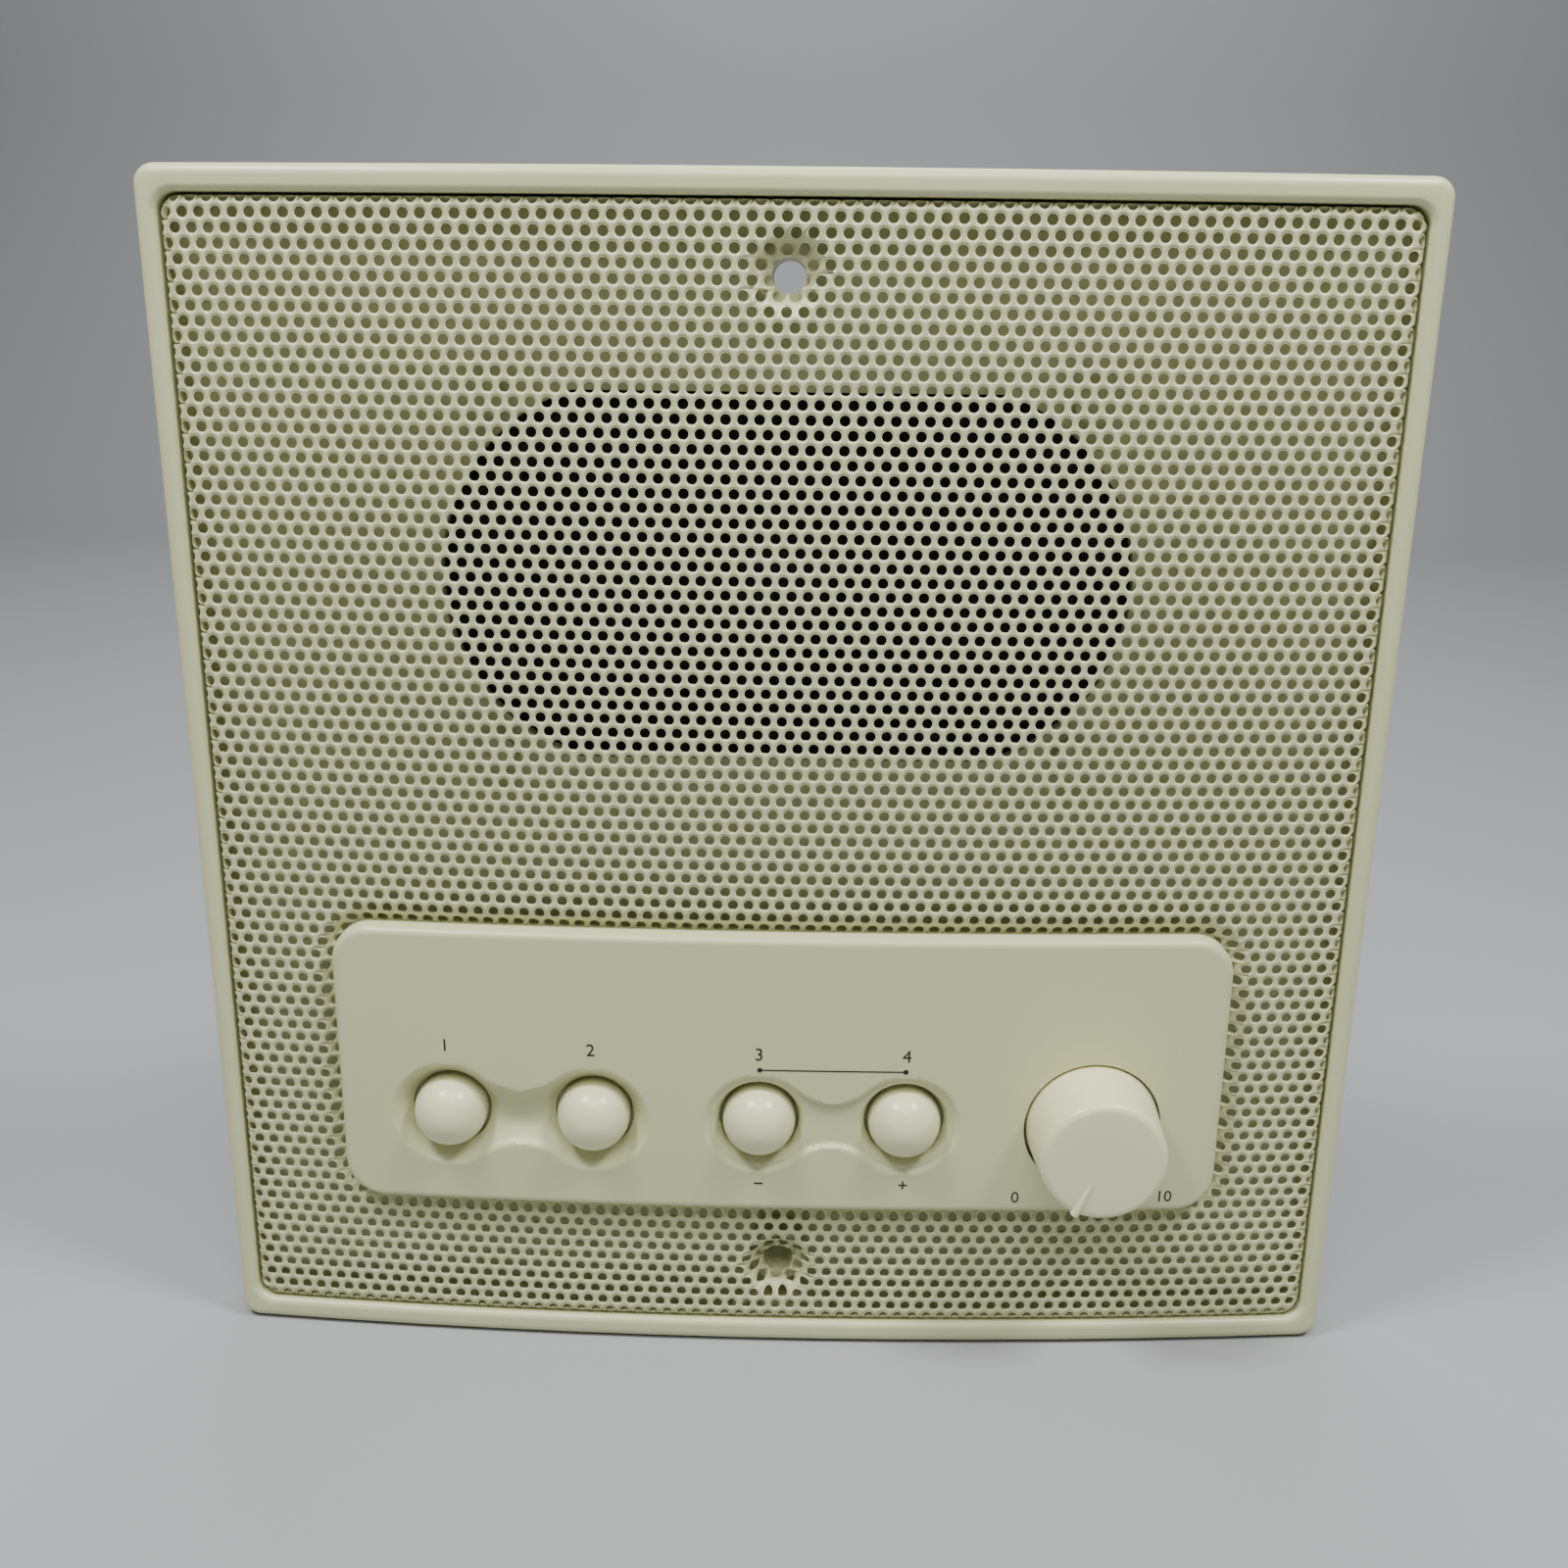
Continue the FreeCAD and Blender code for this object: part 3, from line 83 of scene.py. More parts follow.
# %% [markdown]
# ## Millimetres and the bow
# A product like this is drawn in millimetres, while Blender counts in metres. The meshes are made in
# millimetres, where the numbers are easy to read, and scaled once when they are finished. The front is bowed
# from side to side: all of its surfaces are slices of cylinders that share one upright axis far behind the wall.
# A flat shape can be made first and bent last, by moving each point back to its own cylinder.

# %% Helpers for size and bow
MM = 0.001
BOW_AXIS = 1298.0


def box_mm(node):
    """A CAD node's lowest and highest corner in millimetres."""
    low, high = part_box(node)
    return low / MM, high / MM


def bow(front, x):
    """The depth at x of the bowed surface whose middle is at depth front."""
    return BOW_AXIS - np.sqrt((BOW_AXIS - front) ** 2 - np.square(x))


def smooth(share):
    """An S-curve from 0 to 1, flat at both ends."""
    share = np.clip(share, 0.0, 1.0)
    return share * share * (3 - 2 * share)


def points_of(mesh):
    """A mesh's points as an array of rows."""
    flat = np.empty(len(mesh.vertices) * 3)
    mesh.vertices.foreach_get("co", flat)
    return flat.reshape(-1, 3)


def move_points(mesh, places):
    """Puts a mesh's points at new places."""
    mesh.vertices.foreach_set("co", np.asarray(places, np.float32).ravel())
    mesh.update()


grille_low, grille_high = box_mm("speaker_grille")
panel_low, panel_high = box_mm("control_panel")
print("grille box", [round(v, 2) for v in (*grille_low, *grille_high)])
print("panel box", [round(v, 2) for v in (*panel_low, *panel_high)])

# %% [markdown]
# ## Writing a material
# Every finish here is a Principled shader fed by a few procedural textures. One function turns the sRGB hex
# colours that a paint chart gives into the linear numbers that the shader wants, and one adds a node with its
# settings, values and links. Textures read Object coordinates, which are metres in the frame, so a pattern's
# scale follows from a real size: a noise of scale 1000 / d has grains about d millimetres across.

# %% Node helpers
def linear(hex_colour):
    """Turns an sRGB hex colour into the linear RGBA of a shader socket."""
    channels = [int(hex_colour[start:start + 2], 16) / 255 for start in (1, 3, 5)]
    return (*(c / 12.92 if c <= 0.04045 else ((c + 0.055) / 1.055) ** 2.4 for c in channels), 1.0)


def put(tree, kind, values=(), links=(), **settings):
    """Adds a node. settings are its own properties, values fill sockets, and links feed them."""
    node = tree.nodes.new(kind)
    for name, value in settings.items():
        setattr(node, name, value)
    for socket, value in dict(values).items():
        node.inputs[socket].default_value = value
    for socket, source in dict(links).items():
        tree.links.new(source, node.inputs[socket])
    return node


def start(name, **sockets):
    """A new material with its Principled shader's plain sockets set, and its Object coordinates."""
    material = bpy.data.materials.new(name)
    material.use_nodes = True
    tree = material.node_tree
    shader = tree.nodes["Principled BSDF"]
    for socket, value in sockets.items():
        shader.inputs[socket.replace("_", " ")].default_value = value
    place = put(tree, "ShaderNodeTexCoord").outputs["Object"]
    return material, tree, shader, place


def two_tone(tree, shader, factor, first, second):
    """Mixes the base colour between two hex colours by factor."""
    mix = put(tree, "ShaderNodeMix", {6: linear(first), 7: linear(second)}, {0: factor}, data_type="RGBA")
    tree.links.new(mix.outputs[2], shader.inputs["Base Color"])
    return mix


def between(tree, source, low, high):
    """Maps a 0 to 1 value to low to high."""
    return put(tree, "ShaderNodeMapRange", {"To Min": low, "To Max": high}, {"Value": source}).outputs["Result"]


# %% [markdown]
# ## Finishes with a grain
# Most of the finishes differ in only a few ways: two near colours that wander into each other, a grain of some
# size, how deep the grain is, and how shiny the surface is. One function writes all of those. Its first noise is
# broad and tints the colour, as handling, ageing and uneven pigment do. Its second noise is fine and drives the
# roughness and the bump, as a mould's texture, a casting or a coat of powder does.

# %% Grained finishes
def grained(name, first, second, wander, grain, depth, rough, stretch=(1, 1, 1), **sockets):
    """A finish with two colours that wander over wander mm, and a grain of grain mm that is depth mm deep."""
    material, tree, shader, place = start(name, **sockets)
    broad = put(tree, "ShaderNodeTexNoise", {"Scale": 1 / (wander * MM), "Detail": 3.0}, {"Vector": place})
    two_tone(tree, shader, broad.outputs["Fac"], first, second)
    lay = put(tree, "ShaderNodeMapping", {"Scale": stretch}, {"Vector": place})
    fine = put(tree, "ShaderNodeTexNoise", {"Scale": 1 / (grain * MM), "Detail": 2.0},
               {"Vector": lay.outputs["Vector"]})
    tree.links.new(between(tree, fine.outputs["Fac"], *rough), shader.inputs["Roughness"])
    bump = put(tree, "ShaderNodeBump", {"Strength": 1.0, "Distance": depth * MM}, {"Height": fine.outputs["Fac"]})
    tree.links.new(bump.outputs["Normal"], shader.inputs["Normal"])
    return material


ABS_IOR = 1.53
STEEL = {"Metallic": 1.0}
finishes = {
    # Injection-moulded ABS from a finely spark-eroded mould: a soft sheen that hides finger marks.
    "ivory_abs": grained("ivory moulded ABS", "#d2d4a9", "#cdcfa2", 60, 0.45, 0.012, (0.30, 0.38), IOR=ABS_IOR),
    # Polyester powder sprayed on steel and baked: a satin skin with a faint orange peel, thick at hole edges.
    "cream_powder_coat": grained("cream polyester powder coat", "#d2d4a6", "#ccce9d", 35, 0.9, 0.02,
                                 (0.28, 0.38), IOR=1.52),
    # The knob and balls come from polished moulds, so they catch small bright reflections.
    "ivory_knob": grained("ivory satin ABS", "#ebe8bf", "#e7e4b9", 30, 0.5, 0.008, (0.22, 0.30), IOR=ABS_IOR),
    "ivory_button": grained("ivory polished ABS", "#e6e6bd", "#e2e2b6", 12, 0.4, 0.004, (0.22, 0.30),
                            IOR=ABS_IOR),
    # Zinc-plated steel: pale grey with faint cloudy patches from the plating bath.
    "zinc_steel": grained("zinc-plated steel", "#c9ccd0", "#a9adb5", 3, 0.3, 0.01, (0.25, 0.42), **STEEL),
    "pot_casing": grained("tin-plated pressed steel", "#bfc1c2", "#9fa2a4", 5, 0.4, 0.01, (0.28, 0.45), **STEEL),
    "pot_shaft_steel": grained("turned steel", "#b9bcc0", "#8f9398", 2, 0.25, 0.01, (0.2, 0.35),
                               stretch=(1, 6, 1), **STEEL),
    # Cast epoxy of a chip: matt black with a fine mould texture.
    "black_resin": grained("moulded black epoxy", "#1b1b1d", "#252527", 4, 0.25, 0.02, (0.5, 0.65), IOR=1.55),
    "plunger_nylon": grained("black glass-filled nylon", "#202124", "#2b2c30", 3, 0.3, 0.01, (0.4, 0.55),
                             IOR=1.53),
    # Extruded aluminium has fine drawn lines along the die's direction, which is up.
    "extruded_aluminium": grained("black-anodised extruded aluminium", "#2a2b2e", "#3b3c40", 6, 0.3, 0.015,
                                  (0.3, 0.45), stretch=(1, 1, 0.05), Metallic=0.85),
    "terminal_plastic": grained("green moulded polyamide", "#2f7d4f", "#2a7048", 6, 0.3, 0.01, (0.35, 0.5),
                                IOR=1.53),
    "brass_screws": grained("turned brass", "#d6b25e", "#b8923f", 2, 0.2, 0.01, (0.2, 0.38), **STEEL),
    # The basket is pressed steel sprayed black, thin enough to show the press's drawing marks.
    "basket_steel": grained("black stoved enamel on pressed steel", "#17181a", "#222427", 15, 0.8, 0.03,
                            (0.32, 0.5), IOR=1.5),
    "gasket_foam": grained("black closed-cell foam", "#1d1d1f", "#2b2b2d", 3, 0.5, 0.12, (0.75, 0.95), IOR=1.45),
    "cap_felt": grained("pressed black felt", "#1a191b", "#2a292c", 2, 0.35, 0.1, (0.85, 1.0), IOR=1.45,
                        Sheen_Weight=0.3),
    "plated_steel": grained("yellow-passivated steel plate", "#c9bd93", "#b7b2a0", 9, 0.5, 0.015, (0.25, 0.42),
                            **STEEL),
    # Sintered strontium ferrite, ground flat: charcoal with a gritty broken grain.
    "ferrite": grained("sintered ferrite", "#2e2f31", "#3d3e40", 5, 0.6, 0.05, (0.55, 0.75), IOR=2.2),
    "terminal_board": grained("brown phenolic board", "#6b4427", "#5a371e", 4, 0.4, 0.01, (0.4, 0.55), IOR=1.6),
    "red_pvc": grained("red PVC sleeve", "#b3211f", "#a51c1b", 8, 0.4, 0.008, (0.3, 0.42), IOR=1.53),
    "black_pvc": grained("black PVC sleeve", "#161617", "#1e1e20", 8, 0.4, 0.008, (0.3, 0.42), IOR=1.53),
    "capacitor_sleeve": grained("shrunk dark blue PET film", "#1c2b4a", "#213355", 10, 0.5, 0.006, (0.18, 0.3),
                                IOR=1.57),
}
print(len(finishes), "grained finishes")

# %% [markdown]
# ## Cloth, paper, copper and board
# Five finishes behind the grille are made of threads, fibres, turns of wire or layers. A weave is two sets of
# wave bands at right angles, multiplied. Paper has long fibres, which stretched noise gives. A coil is one set
# of bands whose spacing is the wire's thickness. A circuit board is a green solder mask over copper tracks,
# and a brick pattern with a wandering offset is close enough to tracks at this size.

# %% Patterned finishes
def banded(tree, place, direction, pitch):
    """Bands that repeat each pitch mm along one axis, from 0 to 1."""
    # A wave texture of scale s repeats 20 s / (2 pi) times in a metre.
    wave = put(tree, "ShaderNodeTexWave", {"Scale": math.pi / (10 * pitch * MM)}, {"Vector": place},
               bands_direction=direction)
    return wave.outputs["Fac"]


def woven(name, first, second, pitch, depth, **sockets):
    """A cloth finish with threads pitch mm apart each way."""
    material, tree, shader, place = start(name, **sockets)
    weave = put(tree, "ShaderNodeMath", (), {0: banded(tree, place, "X", pitch), 1: banded(tree, place, "Z", pitch)},
                operation="MULTIPLY").outputs[0]
    two_tone(tree, shader, weave, first, second)
    bump = put(tree, "ShaderNodeBump", {"Distance": depth * MM}, {"Height": weave})
    tree.links.new(bump.outputs["Normal"], shader.inputs["Normal"])
    return material


# Rubber-doped cotton, dark and matt, and the resin-stiffened yellow cloth of the spider. Their threads are
# about 0.4 mm apart, drawn at 0.8 mm so that they show.
finishes["surround_cloth"] = woven("doped black cotton", "#121213", "#29292b", 0.8, 0.1, Roughness=0.85,
                                   Sheen_Weight=0.2)
finishes["spider_cloth"] = woven("resin-stiffened cotton", "#a8863c", "#c9a75a", 0.8, 0.12, Roughness=0.8)

# Pulp pressed into a cone and dyed black: long fibres 0.3 mm thick, lying every way.
paper, tree, shader, place = start("pressed black paper pulp", Roughness=0.9, IOR=1.47)
fibres = put(tree, "ShaderNodeTexNoise", {"Scale": 900.0, "Detail": 5.0, "Distortion": 2.5}, {"Vector": place})
two_tone(tree, shader, fibres.outputs["Fac"], "#0e0e10", "#2c2b2c")
pulp = put(tree, "ShaderNodeBump", {"Distance": 0.15 * MM}, {"Height": fibres.outputs["Fac"]})
tree.links.new(pulp.outputs["Normal"], shader.inputs["Normal"])
finishes["cone_paper"] = paper

# Enamelled copper wire 0.2 mm thick, drawn at 0.4 mm, wound round the coil's axis, which is Y.
copper, tree, shader, place = start("enamelled copper winding", Metallic=1.0, Roughness=0.28)
turns = banded(tree, place, "Y", 0.4)
two_tone(tree, shader, turns, "#7c3f1c", "#c77a45")
ridges = put(tree, "ShaderNodeBump", {"Distance": 0.1 * MM}, {"Height": turns})
tree.links.new(ridges.outputs["Normal"], shader.inputs["Normal"])
finishes["coil_copper"] = copper

# Glass-epoxy board with green solder mask: tracks show as a lighter green, 1.2 mm wide.
board, tree, shader, place = start("green solder mask on glass epoxy", Roughness=0.35, IOR=1.55)
upright = put(tree, "ShaderNodeMapping", {"Rotation": (math.pi / 2, 0, 0)}, {"Vector": place})
tracks = put(tree, "ShaderNodeTexBrick",
             {"Color1": (0, 0, 0, 1), "Color2": (0, 0, 0, 1), "Mortar": (1, 1, 1, 1), "Scale": 1.0,
              "Mortar Size": 0.5 * MM, "Brick Width": 9.3 * MM, "Row Height": 3.1 * MM},
             {"Vector": upright.outputs["Vector"]}, offset=0.37, squash=1.7, squash_frequency=3)
two_tone(tree, shader, tracks.outputs["Color"], "#0d4a2b", "#2c7a48")
relief = put(tree, "ShaderNodeBump", {"Distance": 0.04 * MM}, {"Height": tracks.outputs["Color"]})
tree.links.new(relief.outputs["Normal"], shader.inputs["Normal"])
finishes["board_laminate"] = board
missing = {m["slot"] for m in record["materials"]} - set(finishes)
print("slots with no finish:", sorted(missing))

# %% [markdown]
# ## From a bmesh to a piece
# A piece is a mesh object at the origin that rides on one CAD body, stands for the CAD nodes it replaces, and
# takes the finish of the record's material slot. Smooth shading with sharp edges above an angle keeps curves soft
# and corners crisp. Normals are recalculated after doubles are merged, because spins and mirrors can turn a
# shape inside out.

# %% Piece helpers
def finish_piece(name, mesh, body, slot, nodes, angle):
    """Shades a mesh, gives it its material, and hangs it on its body in place of CAD nodes."""
    mesh.shade_smooth()
    mesh.set_sharp_from_angle(angle=math.radians(angle))
    mesh.materials.clear()
    mesh.materials.append(finishes[slot])
    piece = bpy.data.objects.new(name, mesh)
    bpy.context.scene.collection.objects.link(piece)
    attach(piece, body)
    if nodes:
        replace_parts(piece, *nodes)
    mesh.calc_loop_triangles()
    print(f"{name}: {len(mesh.loop_triangles)} triangles on {body}")
    return piece


def close_up(bm, name):
    """Merges a millimetre bmesh, turns its faces outwards, and makes it a mesh in metres."""
    bmesh.ops.remove_doubles(bm, verts=bm.verts, dist=0.0005)
    bmesh.ops.recalc_face_normals(bm, faces=bm.faces)
    bmesh.ops.scale(bm, vec=(MM, MM, MM), verts=bm.verts)
    mesh = bpy.data.meshes.new(name)
    bm.to_mesh(mesh)
    bm.free()
    return mesh


def cut(mesh, tool, operation):
    """The mesh after a boolean with another mesh; both are closed."""
    pieces = [bpy.data.objects.new("cutting", data) for data in (mesh, tool)]
    for piece in pieces:
        bpy.context.scene.collection.objects.link(piece)
    boolean = pieces[0].modifiers.new("cut", "BOOLEAN")
    boolean.operation = operation
    boolean.solver = "MANIFOLD"
    boolean.object = pieces[1]
    result = bpy.data.meshes.new_from_object(pieces[0].evaluated_get(bpy.context.evaluated_depsgraph_get()))
    for piece in pieces:
        bpy.data.objects.remove(piece)
    return result


def along_y(bm, radius, front, rear, x, z, segments):
    """Adds a closed cylinder about a line along Y, from depth front to depth rear."""
    turn = Matrix.Translation((x, (front + rear) / 2, z)) @ Matrix.Rotation(math.radians(-90), 4, "X")
    return bmesh.ops.create_cone(bm, cap_ends=True, segments=segments, radius1=radius, radius2=radius,
                                 depth=rear - front, matrix=turn)["verts"]


def rounded_prism(bm, width, height, corner, x, z, front, rear, segments):
    """Adds a closed prism along Y whose outline is a rounded rectangle with segments points at each corner."""
    verts = along_y(bm, corner, front, rear, 0, 0, segments * 4)
    bmesh.ops.rotate(bm, cent=(0, 0, 0), matrix=Matrix.Rotation(math.pi / (segments * 4), 3, "Y"), verts=verts)
    for vert in verts:
        vert.co.x += x + math.copysign(width / 2 - corner, vert.co.x)
        vert.co.z += z + math.copysign(height / 2 - corner, vert.co.z)


def mesh_of(build):
    """A mesh in millimetres from a function that fills a bmesh."""
    bm = bmesh.new()
    build(bm)
    bmesh.ops.recalc_face_normals(bm, faces=bm.faces)
    mesh = bpy.data.meshes.new("tool")
    bm.to_mesh(mesh)
    bm.free()
    return mesh


# %% [markdown]
# ## The perforated grille, one hole
# The grille is a steel sheet punched with round holes in a staggered pattern, 60 degrees apart, then folded and
# powder coated. A boolean for each of some thousands of holes would be slow, and each hole may cost only a few
# dozen faces. So one cell is made: a rhombus with a ten-sided hole in front that widens to a smaller rhombus at
# the back, where nobody looks. Rhombus cells tile the staggered pattern with no leftover points.

# %% One row pair of cells
PITCH = 3.175  # 1/8 in between hole middles
ROW = PITCH * math.sin(math.radians(60))
HOLE = 2.14
SHEET = 1.0
REAR_SHARE = 0.85  # how much of its cell the hole opens at the back
HOLE_SIDES = 10
CELL_CORNERS = ((-0.75, -0.5), (0.25, -0.5), (0.75, 0.5), (-0.25, 0.5))


def add_cell(bm, x, z):
    """One cell of the sheet with its hole's middle at x, z."""
    def rhombus(share, depth):
        """The edges of the cell's rhombus, drawn in to a share of its size."""
        corners = [bm.verts.new((x + px * PITCH * share, depth, z + pz * ROW * share)) for px, pz in CELL_CORNERS]
        return [bm.edges.new((corners[side], corners[(side + 1) % 4])) for side in range(4)]

    ring = bmesh.ops.create_circle(bm, segments=HOLE_SIDES, radius=HOLE / 2,
                                   matrix=Matrix.Translation((x, 0, z)) @ Matrix.Rotation(math.pi / 2, 4, "X"))
    circle = list({edge for vert in ring["verts"] for edge in vert.link_edges})
    rear_hole = rhombus(REAR_SHARE, SHEET)
    for outer, inner in ((rhombus(1, 0), circle), (rhombus(1, SHEET), rear_hole)):
        bmesh.ops.triangle_fill(bm, use_beauty=True, use_dissolve=False, edges=outer + inner)
    bmesh.ops.bridge_loops(bm, edges=circle + rear_hole)


bm = bmesh.new()
add_cell(bm, 0, 0)
add_cell(bm, PITCH / 2, ROW)
bmesh.ops.remove_doubles(bm, verts=bm.verts, dist=0.001)
print("a pair of cells has", len(bm.faces), "faces")
cell_pair = bpy.data.meshes.new("cell_pair")
bm.to_mesh(cell_pair)
bm.free()

# %% [markdown]
# ## The sheet, cut while it is flat
# Two Array modifiers repeat the pair of cells over the whole sheet and merge what touches. The flat blank is a
# little larger than the front, because its edges are folded back. Four cuts trim it, and a boolean opens the
# window behind the control panel and the two screw holes while everything is still flat, which is also how
# the real sheet is made: punch first, press afterwards.

# %% Repeat and trim the cells
FOLD = 1.25  # outer radius of the folded edge
TURNED_BACK = 0.6  # how far the sheet runs straight back past the fold
GRILLE_FRONT = grille_low.y
GRILLE_HALF = grille_high.x
CORNER = 3.8
BLANK_HALF = GRILLE_HALF - FOLD + FOLD * math.pi / 2 + TURNED_BACK
TOP_ROW, TOP_HOLE = 113.06, -0.4  # a hole's middle in the highest whole row

sheet = bpy.data.objects.new("sheet", cell_pair)
bpy.context.scene.collection.objects.link(sheet)
side_columns = math.ceil(BLANK_HALF / PITCH) + 1
rows_below = math.ceil((TOP_ROW + BLANK_HALF) / ROW) + 1
first_row = TOP_ROW - rows_below * ROW
first_column = TOP_HOLE - (rows_below % 2) * PITCH / 2 - side_columns * PITCH
for count, step in ((2 * side_columns + 2, (PITCH, 0, 0)),
                    (math.ceil((BLANK_HALF - first_row) / (2 * ROW)) + 1, (0, 0, 2 * ROW))):
    array = sheet.modifiers.new("repeat", "ARRAY")
    array.count = count
    array.use_relative_offset = False
    array.use_constant_offset = True
    array.constant_offset_displace = step
    array.use_merge_vertices = True
    array.merge_threshold = 0.01
flat_sheet = bpy.data.meshes.new_from_object(sheet.evaluated_get(bpy.context.evaluated_depsgraph_get()))
bpy.data.objects.remove(sheet)
bm = bmesh.new()
bm.from_mesh(flat_sheet)
bmesh.ops.remove_doubles(bm, verts=bm.verts, dist=0.001)
bmesh.ops.translate(bm, vec=(first_column, 0, first_row), verts=bm.verts)
for direction in ((1, 0, 0), (-1, 0, 0), (0, 0, 1), (0, 0, -1)):
    bmesh.ops.bisect_plane(bm, geom=bm.verts[:] + bm.edges[:] + bm.faces[:], dist=0.0005,
                           plane_co=Vector(direction) * BLANK_HALF, plane_no=direction, clear_outer=True)
    cut_edges = [edge for edge in bm.edges if edge.is_boundary and all(
        abs(vert.co.dot(Vector(direction)) - BLANK_HALF) < 0.01 for vert in edge.verts)]
    bmesh.ops.edgenet_fill(bm, edges=cut_edges)
bmesh.ops.recalc_face_normals(bm, faces=bm.faces)
bm.to_mesh(flat_sheet)
print("open edges left:", sum(edge.is_boundary for edge in bm.edges), "faces:", len(bm.faces))
bm.free()

# %% Open the window and the screw holes
SEAT = 1.4  # how far the sheet reaches under the panel's edge
WINDOW_CORNER = 5.4
SCREW_HOLE = 6.5
SCREW_UP = 103.0  # height of the upper screw hole; the lower is as far down
panel_middle = (panel_low.z + panel_high.z) / 2
panel_width = panel_high.x - panel_low.x
panel_height = panel_high.z - panel_low.z
PANEL_CORNER = 8.0


def openings(bm):
    """The window's prism and the two screw holes' cylinders."""
    rounded_prism(bm, panel_width - 2 * SEAT, panel_height - 2 * SEAT, WINDOW_CORNER, 0, panel_middle, -2, 3,
                  segments=3)
    for side in (-1, 1):
        along_y(bm, SCREW_HOLE / 2, -2, 3, 0, side * SCREW_UP, segments=20)


flat_sheet = cut(flat_sheet, mesh_of(openings), "DIFFERENCE")
print("flat sheet:", len(flat_sheet.vertices), "points")

# %% [markdown]
# ## Pressing the sheet
# Pressing happens to the points alone. The edges fold back round a radius, the sheet steps back round the
# control panel to make its seat, a dimple goes in round each screw hole, and everything follows the bow. Holes
# that lie on a slope stretch with the sheet, as they do in the real pressing. Folding needs the distance from an
# inner rounded rectangle, and the same distance helper serves the panel's outline later.

# %% Fold, step, dimple and bow
def outline_distance(x, z, half_width, half_height, corner):
    """The distance outside a rounded rectangle, and the outward direction; it is negative inside."""
    over_x = np.abs(x) - (half_width - corner)
    over_z = np.abs(z) - (half_height - corner)
    out_x, out_z = np.maximum(over_x, 0), np.maximum(over_z, 0)
    reach = np.hypot(out_x, out_z)
    distance = np.where(reach > 0, reach, np.maximum(over_x, over_z)) - corner
    away = np.maximum(reach, 1e-9)
    return distance, np.sign(x) * out_x / away, np.sign(z) * out_z / away


STEP_DEPTH = 2.0
STEP_WIDTH = 3.2
STEP_START = 0.2  # how far outside the panel's edge the seat ends
DIMPLE_TOP, DIMPLE_FOOT, DIMPLE_DEPTH = 7.5, 4.2, 3.3

flat = points_of(flat_sheet)
x, depth, z = flat.T
distance, out_x, out_z = outline_distance(x, z, GRILLE_HALF - FOLD, GRILLE_HALF - FOLD, CORNER - FOLD)
past = np.maximum(distance, 0)
angle = np.minimum(past / FOLD, math.pi / 2)
straight = np.maximum(past - FOLD * math.pi / 2, 0)
pull = (FOLD - depth) * np.sin(angle) - past
back = np.where(past > 0, FOLD - (FOLD - depth) * np.cos(angle) + straight, depth)
new_x = x + out_x * pull
new_z = z + out_z * pull
near_panel = outline_distance(x, z - panel_middle, panel_width / 2, panel_height / 2, PANEL_CORNER)[0]
back += STEP_DEPTH * (1 - smooth((near_panel - STEP_START) / STEP_WIDTH))
for side in (-1, 1):
    from_screw = np.hypot(x, z - side * SCREW_UP)
    back += DIMPLE_DEPTH * smooth((DIMPLE_TOP - from_screw) / (DIMPLE_TOP - DIMPLE_FOOT))
pressed = np.column_stack((new_x, bow(GRILLE_FRONT, new_x) + back, new_z))
move_points(flat_sheet, pressed)

bm = bmesh.new()
bm.from_mesh(flat_sheet)

# %% [markdown]
# ## Rims of the holes
# Powder gathers at an edge, so each hole of the real grille has a thick, round rim that catches the light.
# Modelled, it would take the sheet past its share of faces. A second bump can draw it instead, if the material
# knows how far each point is from the nearest hole. The same distance mixes a paler cream into the rim's colour,
# a painted highlight for the light that the rim catches. The staggered pattern is two plain rectangular
# lattices, one set half a cell across and up, and Wrap folds a lattice into a single cell, where that distance is
# a length.

# %% Rims
RIM_WIDTH = 0.4
RIM_HEIGHT = 0.22
tree = finishes["cream_powder_coat"].node_tree
shader, grain_bump, tint, texture_place = (next(node for node in tree.nodes if node.bl_idname == kind) for kind in (
    "ShaderNodeBsdfPrincipled", "ShaderNodeBump", "ShaderNodeMix", "ShaderNodeTexCoord"))
reaches = []
for shift in (0, 1):
    hole = Vector((TOP_HOLE + shift * PITCH / 2, 0, TOP_ROW + shift * ROW)) * MM
    half_cell = Vector((PITCH / 2, 1000, ROW)) * MM
    moved = put(tree, "ShaderNodeVectorMath", {1: hole}, {0: texture_place.outputs["Object"]}, operation="SUBTRACT")
    cell = put(tree, "ShaderNodeVectorMath", {1: half_cell, 2: -half_cell}, {0: moved.outputs[0]}, operation="WRAP")
    level = put(tree, "ShaderNodeVectorMath", {1: (1, 0, 1)}, {0: cell.outputs[0]}, operation="MULTIPLY")
    reaches.append(put(tree, "ShaderNodeVectorMath", (), {0: level.outputs[0]}, operation="LENGTH").outputs["Value"])
nearest = put(tree, "ShaderNodeMath", (), {0: reaches[0], 1: reaches[1]}, operation="MINIMUM").outputs[0]
rim = put(tree, "ShaderNodeMapRange", {"From Min": HOLE / 2 * MM, "From Max": (HOLE / 2 + RIM_WIDTH) * MM},
          {"Value": nearest}, interpolation_type="SMOOTHSTEP").outputs["Result"]
round_rim = put(tree, "ShaderNodeBump", {"Distance": RIM_HEIGHT * MM},
                {"Height": rim, "Normal": grain_bump.outputs["Normal"]})
tree.links.new(round_rim.outputs["Normal"], shader.inputs["Normal"])
# Painted highlight: the rim's colour is mixed to a paler cream, standing in for the light that the rounded rim
# catches.
painted_rim_highlight = put(tree, "ShaderNodeMix", {6: linear("#dedfb2")}, {0: rim, 7: tint.outputs[2]}, data_type="RGBA")
tree.links.new(painted_rim_highlight.outputs[2], shader.inputs["Base Color"])
print("rims", RIM_WIDTH, "mm wide round holes", HOLE, "mm across")

